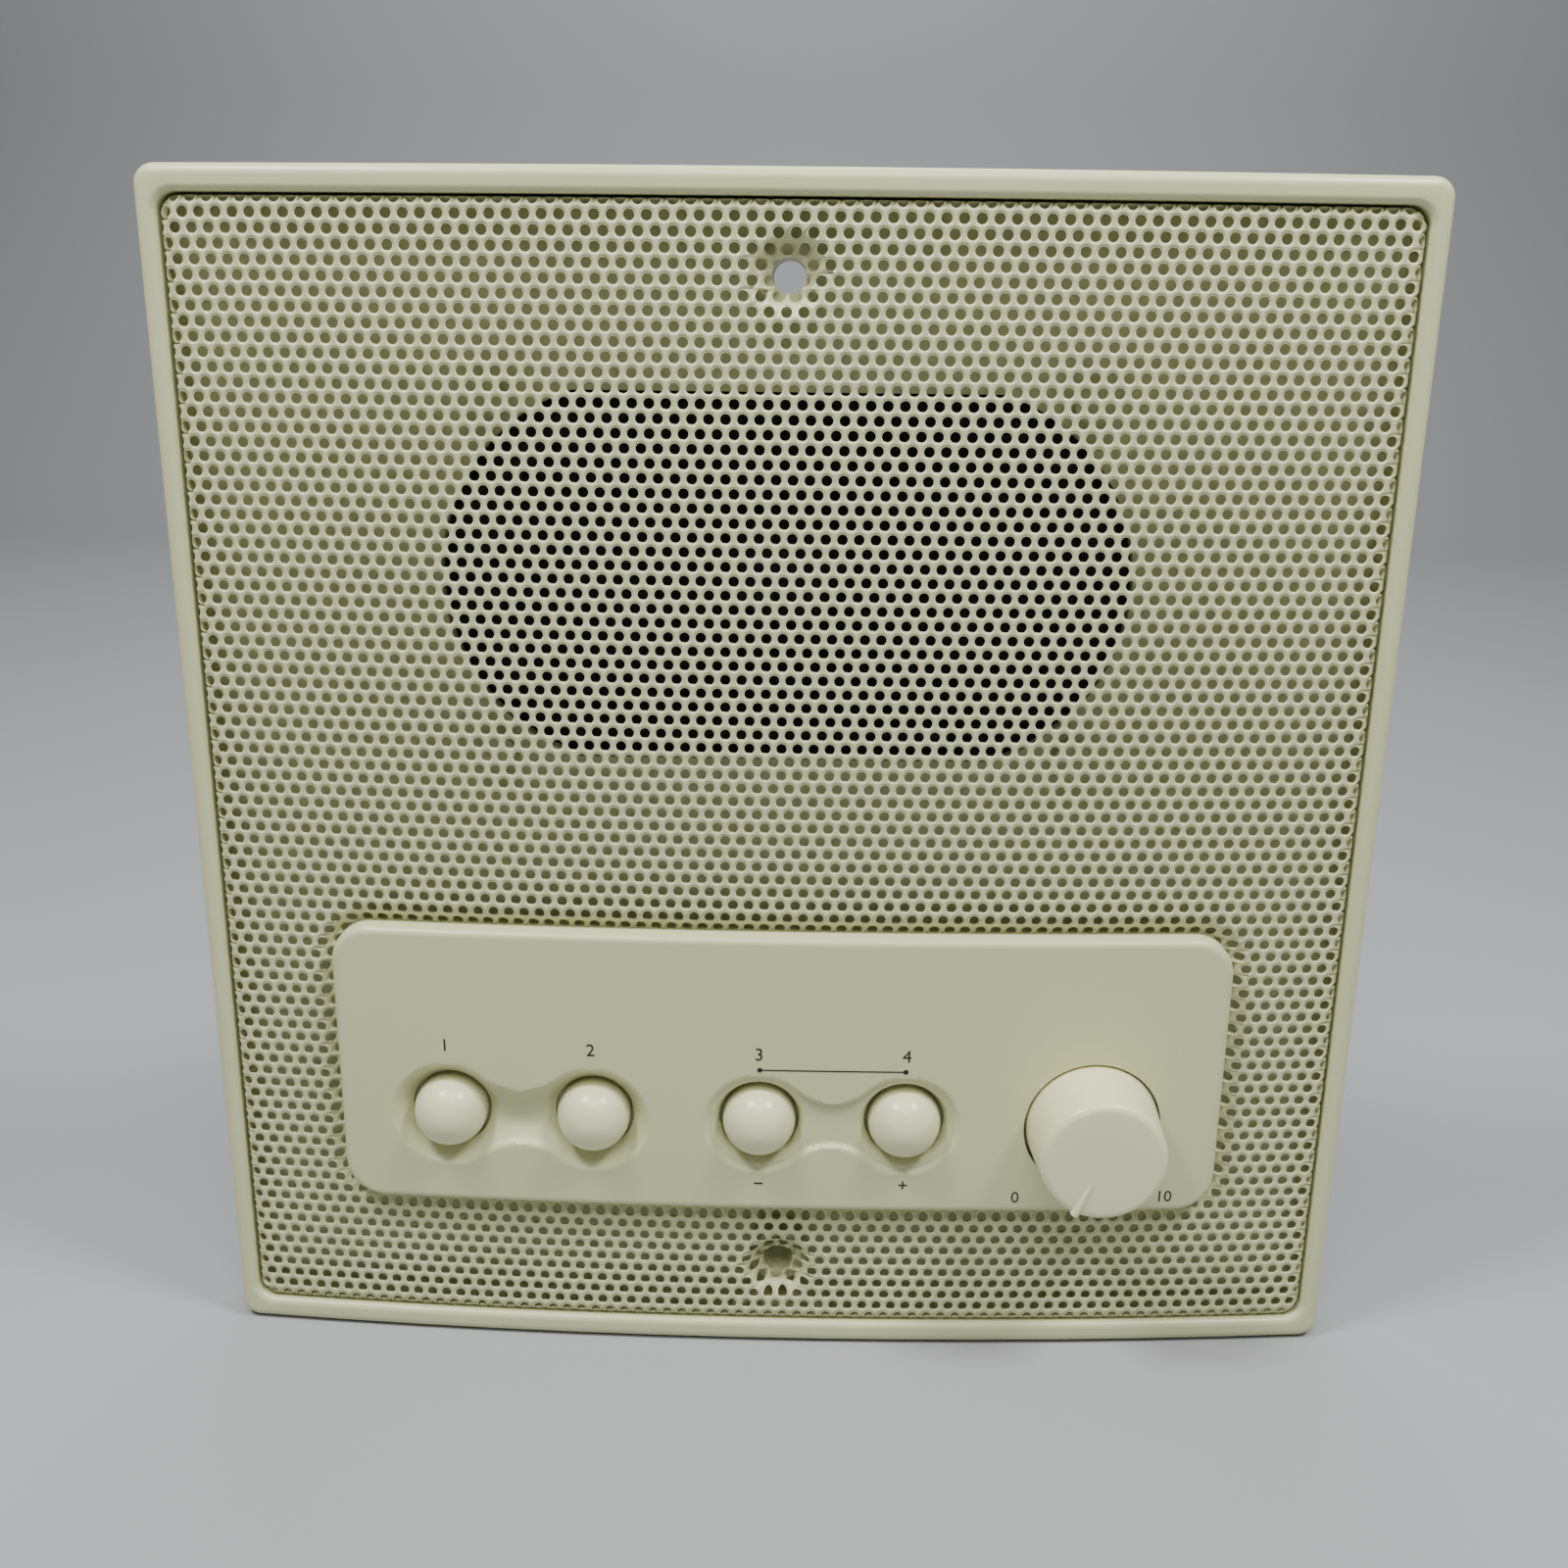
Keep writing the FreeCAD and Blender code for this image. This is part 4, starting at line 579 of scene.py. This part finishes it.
# %% [markdown]
# ## The grille's flange
# Behind the fold the sheet runs straight back to the baffle as a plain flange. It is a rounded rectangle that is
# bridged to a smaller copy of itself, so it has an outside and an inside, and its front edge follows the bow.

# %% Flange
GRILLE_REAR = grille_high.y


def rounded_ring(bm, half, corner, y, segments=6, cuts=12):
    """A closed loop of edges round a square with rounded corners, divided along its sides."""
    ring = bmesh.ops.create_circle(bm, segments=segments * 4, radius=corner,
                                   matrix=Matrix.Translation((0, y, 0)) @ Matrix.Rotation(math.pi / 2, 4, "X")
                                   @ Matrix.Rotation(math.pi / (segments * 4), 4, "Z"))["verts"]
    for vert in ring:
        vert.co.x += math.copysign(half - corner, vert.co.x)
        vert.co.z += math.copysign(half - corner, vert.co.z)
    edges = {edge for vert in ring for edge in vert.link_edges}
    sides = [edge for edge in edges if edge.calc_length() > half]
    bmesh.ops.subdivide_edges(bm, edges=sides, cuts=cuts)
    return [edge for edge in bm.edges if edge.is_wire and abs(edge.verts[0].co.y - y) < 1e-6]


flange = bmesh.new()
section = [(GRILLE_HALF, CORNER, 0.0), (GRILLE_HALF, CORNER, 1.0),
           (GRILLE_HALF - SHEET, CORNER - SHEET, 2.0), (GRILLE_HALF - SHEET, CORNER - SHEET, 3.0)]
rings = [rounded_ring(flange, *spot) for spot in section]
for index, ring in enumerate(rings):
    bmesh.ops.bridge_loops(flange, edges=ring + rings[(index + 1) % 4])
for vert in flange.verts:
    front_edge = vert.co.y < 0.5 or vert.co.y > 2.5
    vert.co.y = bow(GRILLE_FRONT, vert.co.x) + FOLD + TURNED_BACK - 0.1 if front_edge else GRILLE_REAR
band = bpy.data.meshes.new("band")
flange.to_mesh(band)
flange.free()
bm.from_mesh(band)
finish_piece("grille_sheet", close_up(bm, "grille_sheet"), "station", "cream_powder_coat", ["speaker_grille"], 75)

# %% [markdown]
# ## The control panel as a landscape
# The panel is one ABS moulding with a rounded edge and two peanut-shaped hollows. The left one is soft, like a
# thumb print in butter; the right one has a thin crisp rim and a flat floor. Such a face is easiest as a
# landscape: a grid whose every point is moved back by a depth, which is a sum of slopes. The grid is finer where
# the face turns quickly. It is then made a slab, cut to its outline, and drilled.

# %% Lines of the grid
FACE = panel_low.y
CONTROL_Z = -67.0
BALL = 15.4
BALL_SINK = 3.0
BUTTONS = {name: (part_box(name)[0].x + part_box(name)[1].x) / 2 / MM
           for name in ("talk_button_left", "talk_button_right", "music_button_left", "music_button_right")}
PAIRS = {"talk": (BUTTONS["talk_button_left"] + BUTTONS["talk_button_right"]) / 2,
         "music": (BUTTONS["music_button_left"] + BUTTONS["music_button_right"]) / 2}
SPAN = (BUTTONS["talk_button_right"] - BUTTONS["talk_button_left"]) / 2
print({name: round(place, 2) for name, place in {**BUTTONS, **PAIRS}.items()})


def lines(half, band_low, band_high, fine, coarse):
    """Grid lines from -half to half: very fine at both ends, fine in a band, coarse elsewhere."""
    places = [-half - 1]
    while places[-1] < half + 1:
        here = places[-1]
        edge = half - abs(here)
        step = 0.22 if edge < 1.8 else 0.45 if edge < 9 else fine if band_low < here < band_high else coarse
        places.append(here + step)
    return np.array(places)


HOLLOWS_LEFT, HOLLOWS_RIGHT = -84, 40
HOLLOWS_DOWN, HOLLOWS_UP = -25, 3  # from the panel's middle
x_lines = lines(panel_width / 2, HOLLOWS_LEFT, HOLLOWS_RIGHT, 0.5, 2.0)
z_lines = lines(panel_height / 2, HOLLOWS_DOWN, HOLLOWS_UP, 0.5, 1.6)
bm = bmesh.new()
bmesh.ops.create_grid(bm, x_segments=len(x_lines) - 1, y_segments=len(z_lines) - 1, size=0.5)
for vert in bm.verts:
    column = round((vert.co.x + 0.5) * (len(x_lines) - 1))
    row = round((vert.co.y + 0.5) * (len(z_lines) - 1))
    vert.co = (x_lines[column], 0, z_lines[row] + panel_middle)
print("grid", len(x_lines), "by", len(z_lines))

# %% [markdown]
# ## Slopes of the hollows
# A peanut outline is two circles joined by two larger arcs that touch them. The distance inside it decides the
# depth: a trough that is steep at its edge and levels out in the middle gives the soft hollow, and a short
# S-curve and a flat floor give the crisp one. Round each ball the floor dips again, as a funnel, so that the
# ball hides the gap below itself and shows only a dark crescent above.

# %% Depth of the face
WELL = 11.4  # radius of each end of a peanut
WAISTS = {"talk": 5.9, "music": 5.2}  # half heights in the middle
HOLE_GAP = 0.75  # between a ball and its hole
EDGE_ROUND = 1.5
SOFT_DEPTH, SOFT_REACH, SOFT_EDGE, SOFT_OUTSIDE = 3.4, 6.8, 1.1, 0.6
CRISP_DEPTH, CRISP_EDGE = 1.05, 0.85
FUNNELS = {"talk": (10.8, 1.3), "music": (9.7, 2.7)}  # radius where it starts, and depth
FUNNEL_LIP = 0.4


def peanut_inside(pair, x, z):
    """The distance inside a pair's peanut outline; it is negative outside."""
    x, z = np.abs(x - PAIRS[pair]), np.abs(z - CONTROL_Z)
    waist = WAISTS[pair]
    arc = (SPAN ** 2 + waist ** 2 - WELL ** 2) / (2 * (WELL - waist))
    high = waist + arc
    by_circle = WELL - np.hypot(x - SPAN, z)
    by_arc = np.hypot(x, z - high) - arc
    on_waist_side = x / SPAN + z / high < 1
    return np.where(on_waist_side, by_arc, by_circle)


def face_depth(x, z):
    """How far the panel's face lies behind its highest surface."""
    edge = -outline_distance(x, z - panel_middle, panel_width / 2, panel_height / 2, PANEL_CORNER)[0]
    short = np.clip(EDGE_ROUND - edge, 0, EDGE_ROUND)
    depth = EDGE_ROUND - np.sqrt(EDGE_ROUND ** 2 - short ** 2)
    soft = peanut_inside("talk", x, z)
    trough = 1 - (1 - np.clip((soft + 0.7) / SOFT_REACH, 0, 1)) ** 2
    depth += SOFT_DEPTH * trough * smooth((soft + SOFT_OUTSIDE) / SOFT_EDGE)
    depth += CRISP_DEPTH * smooth(peanut_inside("music", x, z) / CRISP_EDGE)
    for name, place in BUTTONS.items():
        start_radius, extra = FUNNELS[name.split("_")[0]]
        inward = start_radius - np.hypot(x - place, z - CONTROL_Z)
        depth += extra * smooth(inward / (start_radius - BALL / 2 - HOLE_GAP + FUNNEL_LIP))
    return depth


for vert in bm.verts:
    vert.co.y = 0.0
face = bpy.data.meshes.new("face")
bm.to_mesh(face)
bm.free()
spots = points_of(face)
spots[:, 1] = face_depth(spots[:, 0], spots[:, 2])
move_points(face, spots)
print("deepest point of the face:", round(float(spots[:, 1].max()), 2), "mm")

# %% [markdown]
# ## From landscape to moulding
# The grid's border is extruded back and filled, which gives a closed slab. One boolean keeps what lies inside
# the rounded outline, and another drills the four ball holes and the knob's well. The slab is bent to the bow at
# the end. Its plain back is first divided by upright cuts, so that it can bend too.

# %% Slab, outline, holes and bow
KNOB_X = 66.0
KNOB_WELL = 14.5  # radius of the hole that the knob stands in
SLAB = 6.2  # thickness of the moulding before its hollows
knob_floor = box_mm("pot_washer")[1].y

bm = bmesh.new()
bm.from_mesh(face)
border = [edge for edge in bm.edges if edge.is_boundary]
walls = bmesh.ops.extrude_edge_only(bm, edges=border)["geom"]
for item in walls:
    if isinstance(item, bmesh.types.BMVert):
        item.co.y = SLAB
rear_edges = [item for item in walls if isinstance(item, bmesh.types.BMEdge) and item.is_boundary]
bmesh.ops.contextual_create(bm, geom=rear_edges)
bmesh.ops.recalc_face_normals(bm, faces=bm.faces)
bm.to_mesh(face)
bm.free()


def outline(bm):
    """The panel's outline as a prism."""
    rounded_prism(bm, panel_width, panel_height, PANEL_CORNER, 0, panel_middle, -1, SLAB + 1, segments=16)


def drills(bm):
    """Four ball holes and the knob's well."""
    for place in BUTTONS.values():
        along_y(bm, BALL / 2 + HOLE_GAP, -2, SLAB + 2, place, CONTROL_Z, segments=72)
    along_y(bm, KNOB_WELL, -2, SLAB + 2, KNOB_X, CONTROL_Z, segments=96)


slab = cut(cut(face, mesh_of(outline), "INTERSECT"), mesh_of(drills), "DIFFERENCE")
bm = bmesh.new()
bm.from_mesh(slab)
for place in range(-88, 89, 8):
    rear = [item for item in bm.faces if item.calc_center_median().y > SLAB - 0.01]
    geometry = rear + list({edge for item in rear for edge in item.edges})
    geometry += list({vert for item in rear for vert in item.verts})
    bmesh.ops.bisect_plane(bm, geom=geometry, dist=0.001, plane_co=(place, 0, 0), plane_no=(1, 0, 0))
for vert in bm.verts:
    vert.co.y += bow(FACE, vert.co.x)
print("panel slab:", len(bm.faces), "faces")

# %% [markdown]
# ## The back of the panel
# Behind the face the moulding has a cup for the knob and hollow bosses that the screws from behind bite into.
# The cup is one section spun round the knob's axis. The bosses take their places from the CAD screws, whose
# separate shells give one position each.

# %% Cup and bosses
def spun(bm, section, x, z, steps=64):
    """Spins a closed or axis-to-axis section of (radius, depth) points round a line along Y."""
    verts = [bm.verts.new((x + radius, depth, z)) for radius, depth in section]
    edges = [bm.edges.new(pair) for pair in zip(verts, verts[1:])]
    if section[0][0] > 1e-6:
        edges.append(bm.edges.new((verts[-1], verts[0])))
    bmesh.ops.spin(bm, geom=verts + edges, cent=(x, 0, z), axis=(0, 1, 0), dvec=(0, 0, 0),
                   angle=2 * math.pi, steps=steps, use_merge=True, use_duplicate=False)
    bmesh.ops.remove_doubles(bm, verts=bm.verts, dist=0.0002)


def shells(node):
    """The boxes, in millimetres, of a CAD node's separate shells."""
    bm = bmesh.new()
    bm.from_mesh(frame["nodes"][node].data)
    bmesh.ops.remove_doubles(bm, verts=bm.verts, dist=1e-6)
    left, boxes = set(bm.verts), []
    while left:
        group, edge_of_group = set(), [left.pop()]
        while edge_of_group:
            vert = edge_of_group.pop()
            group.add(vert)
            fresh = {edge.other_vert(vert) for edge in vert.link_edges} & left
            left -= fresh
            edge_of_group += fresh
        spots = np.array([vert.co for vert in group]) / MM
        boxes.append((Vector(spots.min(0)), Vector(spots.max(0))))
    bm.free()
    return sorted(boxes, key=lambda pair: (round(pair[0].z), round(pair[0].x)))


CUP_WALL = 1.6
BUSHING = 4.6  # radius of the hole for the potentiometer's neck
BOSS = 3.0
BAFFLE = -10.0  # depth where the bosses meet the baffle
knob_face = float(bow(FACE, KNOB_X))
cup = bmesh.new()
spun(cup, [(KNOB_WELL, knob_face + 1.5), (KNOB_WELL + CUP_WALL, knob_face + 1.5),
           (KNOB_WELL + CUP_WALL, knob_floor + CUP_WALL), (BUSHING, knob_floor + CUP_WALL), (BUSHING, knob_floor),
           (KNOB_WELL, knob_floor)], KNOB_X, CONTROL_Z)
for node, bore in (("panel_screws", 1.4), ("board_screws", 1.1)):
    for low, high in shells(node):
        x, z = (low.x + high.x) / 2, (low.z + high.z) / 2
        rear = BAFFLE if node == "panel_screws" else panel_high.y
        front = float(bow(FACE, x)) + SLAB - 0.5
        spun(cup, [(bore, front + 1), (bore, rear), (BOSS, rear), (BOSS, front), (bore + 0.2, front)], x, z, steps=24)
extra = bpy.data.meshes.new("extra")
cup.to_mesh(extra)
cup.free()
bm.from_mesh(extra)
finish_piece("panel_moulding", close_up(bm, "panel_moulding"), "station", "ivory_abs", ["control_panel"], 40)

# %% [markdown]
# ## The ball buttons
# Each button is a half ball on a skirt, with a flange that keeps it in its hole and a stem that reaches its
# switch. It has no seam anywhere, so a turned section is the whole story: an arc from the pole to the equator,
# then the steps of the skirt, flange and stem, spun round the ball's axis.

# %% Balls
def arc(middle_radius, middle_depth, radius, start_angle, end_angle, count):
    """Points of an arc in a section, with angles in degrees from the front."""
    angles = np.radians(np.linspace(start_angle, end_angle, count))
    return [(float(middle_radius + radius * math.sin(a)), float(middle_depth - radius * math.cos(a)))
            for a in angles]


for name, place in BUTTONS.items():
    low, high = box_mm(name)
    middle = low.y + BALL / 2
    flange_radius = (high.x - low.x) / 2
    floor = middle + BALL_SINK + 2.6
    section = arc(0, middle, BALL / 2, 0, 90, 18)
    section += [(BALL / 2, floor - 2.0), (flange_radius, floor - 2.0), (flange_radius, floor - 0.8),
                (2.0, floor - 0.8), (2.0, high.y), (0, high.y)]
    bm = bmesh.new()
    spun(bm, section, place, CONTROL_Z)
    finish_piece(f"{name}_ball", close_up(bm, f"{name}_ball"), body_of[name], "ivory_button", [name], 35)

# %% [markdown]
# ## The volume knob
# The knob is a hollow cup with a slight taper, so that it leaves its mould, and a softly rounded front edge. Its
# section is turned: out over the crown, down the side, round the rim, back up inside, and down the boss that
# grips the shaft. The pointer is a rib that grows wider and a little taller towards the edge. It starts as a
# cone, whose outer end is bevelled, and is laid on the face and flattened, so most of it lies inside the knob.

# %% Knob and pointer
KNOB_CROWN = 1.7
KNOB_WALL = 1.8
KNOB_TAPER = 1.0
KNOB_HEIGHT = 15.0
SHAFT, SHAFT_GRIP = 3.0, 5.0
POINTER_TURN = 25.0
knob_low, knob_high = box_mm("volume_knob")
shaft_low = box_mm("pot_shaft")[0].y
base_radius = (knob_high.x - knob_low.x) / 2
front_radius = base_radius - KNOB_TAPER
crown_front = knob_face - KNOB_HEIGHT
bore_front = max(shaft_low, crown_front + KNOB_WALL)

section = [(0, crown_front)]
section += [(0.5 * (front_radius - KNOB_CROWN), crown_front)]
section += arc(front_radius - KNOB_CROWN, crown_front + KNOB_CROWN, KNOB_CROWN, 0, 88, 10)
section += [(base_radius, knob_high.y - 0.3), (base_radius - 0.3, knob_high.y),
            (base_radius - KNOB_WALL, knob_high.y), (front_radius - KNOB_WALL, crown_front + 4.5),
            (front_radius - KNOB_WALL - 1.5, crown_front + 3.0), (5.2, crown_front + 3.0),
            (SHAFT_GRIP, knob_high.y - 2.5), (SHAFT, knob_high.y - 2.5), (SHAFT, bore_front), (0, bore_front)]
bm = bmesh.new()
spun(bm, section, KNOB_X, CONTROL_Z, steps=96)

RIB_IN, RIB_OUT = 5.2, 13.15
RIB_WIDE, RIB_NARROW = 0.98, 0.42
RIB_FLAT, RIB_GROWTH = 0.6, 0.6
rib = bmesh.new()
bmesh.ops.create_cone(rib, cap_ends=True, segments=20, radius1=RIB_WIDE, radius2=RIB_NARROW, depth=RIB_OUT - RIB_IN)
end_edges = [edge for edge in rib.edges if all(vert.co.z < 0 for vert in edge.verts)]
bmesh.ops.bevel(rib, geom=end_edges, offset=0.35, offset_type="OFFSET", segments=3, profile=0.5, material=-1,
                affect="EDGES")
for vert in rib.verts:
    outward = (RIB_OUT - RIB_IN) / 2 - vert.co.z
    share = outward / (RIB_OUT - RIB_IN)
    rise = vert.co.y * (RIB_FLAT + RIB_GROWTH * share)
    vert.co = (vert.co.x, crown_front + 0.1 + 0.2 * share - rise, -(RIB_IN + outward))
bmesh.ops.rotate(rib, cent=(0, 0, 0), matrix=Matrix.Rotation(math.radians(POINTER_TURN), 3, "Y"), verts=rib.verts)
bmesh.ops.translate(rib, vec=(KNOB_X, 0, CONTROL_Z), verts=rib.verts)
pointer = bpy.data.meshes.new("pointer")
rib.to_mesh(pointer)
rib.free()
bm.from_mesh(pointer)
finish_piece("volume_knob_cap", close_up(bm, "volume_knob_cap"), "volume_knob", "ivory_knob", ["volume_knob"], 40)

# %% [markdown]
# ## The printed marks
# The real panel is pad printed in dark ink. The words on it stay off this part, and plain figures take their
# places: 1 to 4 over the buttons, a line between the last two, minus and plus below them, and the ends of the
# knob's scale. Text is written with Blender's own font, made a mesh, given the ink's thickness and bent to the
# face. Printing is far thinner than the 0.06 mm used here, which keeps it clear of the face.

# %% Ink
INK = 0.06
finishes["print_ink"] = grained("pad-printed dark ink", "#15160f", "#1f2018", 5, 0.3, 0.004, (0.5, 0.6), IOR=1.5)


def text_mesh(words, height, x, z):
    """A flat text in millimetres, centred on x, z, facing the front."""
    curve = bpy.data.curves.new(words, "FONT")
    curve.body = words
    curve.size = height / 0.69
    curve.align_x = "CENTER"
    curve.align_y = "CENTER"
    writer = bpy.data.objects.new(words, curve)
    mesh = bpy.data.meshes.new_from_object(writer)
    bpy.data.objects.remove(writer)
    mesh.transform(Matrix.Translation((x, 0, z)) @ Matrix.Rotation(math.pi / 2, 4, "X"))
    return mesh


def flat_bar(bm, x, z, width, height):
    """A flat rectangle facing the front, divided along its length so that it can bend."""
    cells = max(1, round(width / 3))
    lay = Matrix.Translation((x, 0, z)) @ Matrix.Rotation(math.pi / 2, 4, "X") @ Matrix.Diagonal(
        (width, height, 1, 1))
    bmesh.ops.create_grid(bm, x_segments=cells, y_segments=1, size=0.5, matrix=lay)


FIGURES_Z, LINE_Z, SIGNS_Z, SCALE_Z = -50.9, -54.3, -80.8, -83.7
LINE_LONG, LINE_THICK, SIGN_LONG, SIGN_THICK = 30.5, 0.28, 1.9, 0.34
bm = bmesh.new()
marks = [(str(number), 2.7, place, FIGURES_Z) for number, place in enumerate(BUTTONS.values(), 1)]
marks += [("0", 2.5, KNOB_X - 15.5, SCALE_Z), ("10", 2.5, KNOB_X + 16.5, SCALE_Z)]
for words, height, x, z in marks:
    bm.from_mesh(text_mesh(words, height, x, z))
flat_bar(bm, PAIRS["music"], LINE_Z, LINE_LONG, LINE_THICK)
for side in (-1, 1):
    lay = Matrix.Translation((PAIRS["music"] + side * 15.2, 0, LINE_Z)) @ Matrix.Rotation(math.pi / 2, 4, "X")
    bmesh.ops.create_circle(bm, cap_ends=True, segments=16, radius=0.55, matrix=lay)
for name, width, height in (("music_button_left", SIGN_LONG, SIGN_THICK),
                            ("music_button_right", SIGN_LONG, SIGN_THICK),
                            ("music_button_right", SIGN_THICK, SIGN_LONG)):
    flat_bar(bm, BUTTONS[name], SIGNS_Z, width, height)
bmesh.ops.remove_doubles(bm, verts=bm.verts, dist=0.0005)
raised = bmesh.ops.extrude_face_region(bm, geom=bm.faces[:])["geom"]
tops = {item for item in raised if isinstance(item, bmesh.types.BMVert)}
for vert in bm.verts:
    lift = -INK if vert in tops else 0.02
    vert.co.y = float(bow(FACE, vert.co.x)) + lift
printed = finish_piece("printed_marks", close_up(bm, "printed_marks"), "station", "ivory_abs", [], 30)
printed.data.materials[0] = finishes["print_ink"]

# %% [markdown]
# ## Pieces whose CAD shape is right
# The tray and everything behind it were drawn in full in CAD, so their shapes stay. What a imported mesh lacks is
# shared points: it is loose triangles. A copy with its points merged takes smooth shading, so the round lip and
# the magnet's edge look turned and not faceted. Each copy takes the finish of its material slot.

# %% Carried-over shapes
covered = {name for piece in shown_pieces() for name in piece.get("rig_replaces", [])}
for node, source in sorted(frame["nodes"].items()):
    if node in covered:
        continue
    bm = bmesh.new()
    bm.from_mesh(source.data)
    bmesh.ops.remove_doubles(bm, verts=bm.verts, dist=1e-6)
    copy = bpy.data.meshes.new(f"{node}_piece")
    bm.to_mesh(copy)
    bm.free()
    for name in ("custom_normal", "UVMap"):
        if name in copy.attributes:
            copy.attributes.remove(copy.attributes[name])
    finish_piece(f"{node}_piece", copy, body_of[node], slot_of[node], [node], 32)

# %% [markdown]
# ## Floor, light and camera
# The station stands on a plain pale sweep: a floor that bends up into a backdrop, so no horizon shows. A lamp
# behind lights the sweep. Two lamps hang high on the left and right, a little in front, so that they rake down
# the face, and a soft box between them fills the hollows below the balls. A pale world fills the rest. Harder
# lamps would draw crisper shadows beside the knob, but would draw them below each ball as well. The camera
# looks slightly down from just above the middle.

# %% Stage
floor_mesh = bpy.data.meshes.new("floor")
bm = bmesh.new()
ground = cad_box[0].z - 0.0002
WALL = 1.8
corners = [bm.verts.new((-8.0, y, ground + up)) for y, up in ((-2.5, 0.0), (WALL, 0.0), (WALL, 2.6))]
runs = [bm.edges.new(pair) for pair in zip(corners, corners[1:])]
swept = bmesh.ops.extrude_edge_only(bm, edges=runs)["geom"]
bmesh.ops.translate(bm, vec=(16.0, 0, 0), verts=[item for item in swept if isinstance(item, bmesh.types.BMVert)])
fold_line = [edge for edge in bm.edges
             if all(abs(vert.co.y - WALL) + abs(vert.co.z - ground) < 1e-4 for vert in edge.verts)]
bmesh.ops.bevel(bm, geom=fold_line, offset=0.5, offset_type="OFFSET", segments=12, profile=0.5, material=-1,
                affect="EDGES")
bm.to_mesh(floor_mesh)
bm.free()
floor_mesh.shade_smooth()
floor_mesh.materials.append(grained("pale matt paper", "#a5a7aa", "#a1a3a6", 400, 2.0, 0.02, (0.6, 0.7), IOR=1.45))
floor = bpy.data.objects.new("floor", floor_mesh)
bpy.context.scene.collection.objects.link(floor)

world = bpy.data.worlds.new("pale room")
world.use_nodes = True
world.node_tree.nodes["Background"].inputs["Color"].default_value = (0.95, 0.96, 0.92, 1)
world.node_tree.nodes["Background"].inputs["Strength"].default_value = 0.2
bpy.context.scene.world = world


def lamp(name, place, target, size, power):
    """A soft square lamp at place that faces target, in metres."""
    light = bpy.data.lights.new(name, "AREA")
    light.size = size
    light.energy = power
    holder = bpy.data.objects.new(name, light)
    bpy.context.scene.collection.objects.link(holder)
    holder.location = place
    holder.rotation_euler = (Vector(target) - Vector(place)).to_track_quat("-Z", "Y").to_euler()


lamp("left lamp", (-0.36, -0.23, 0.70), (0, 0, 0), 0.17, 5.0)
lamp("right lamp", (0.42, -0.23, 0.68), (0, 0, 0), 0.17, 5.0)
lamp("soft box", (0.0, -0.36, 0.56), (0, 0, 0), 0.30, 2.3)
lamp("backdrop lamp", (0.0, 0.75, 1.30), (0, 1.5, 0.2), 0.8, 16)

camera_data = bpy.data.cameras.new("camera")
camera_data.lens = 35.52
camera_data.sensor_width = 36.0
camera = bpy.data.objects.new("camera", camera_data)
bpy.context.scene.collection.objects.link(camera)
right = Vector((0.99979, 0.01689, 0.01157))
up = Vector((-0.01585, 0.28067, 0.95968))
turn = Matrix((right, up, right.cross(up))).transposed()
camera.matrix_world = Matrix.Translation((0.00416, -0.31591, 0.09321)) @ turn.to_4x4()
bpy.context.scene.camera = camera

# %% [markdown]
# The last cell prints the CAD model's box.

# %% Sizes
print("CAD box", [round(v, 4) for corner in cad_box for v in corner])
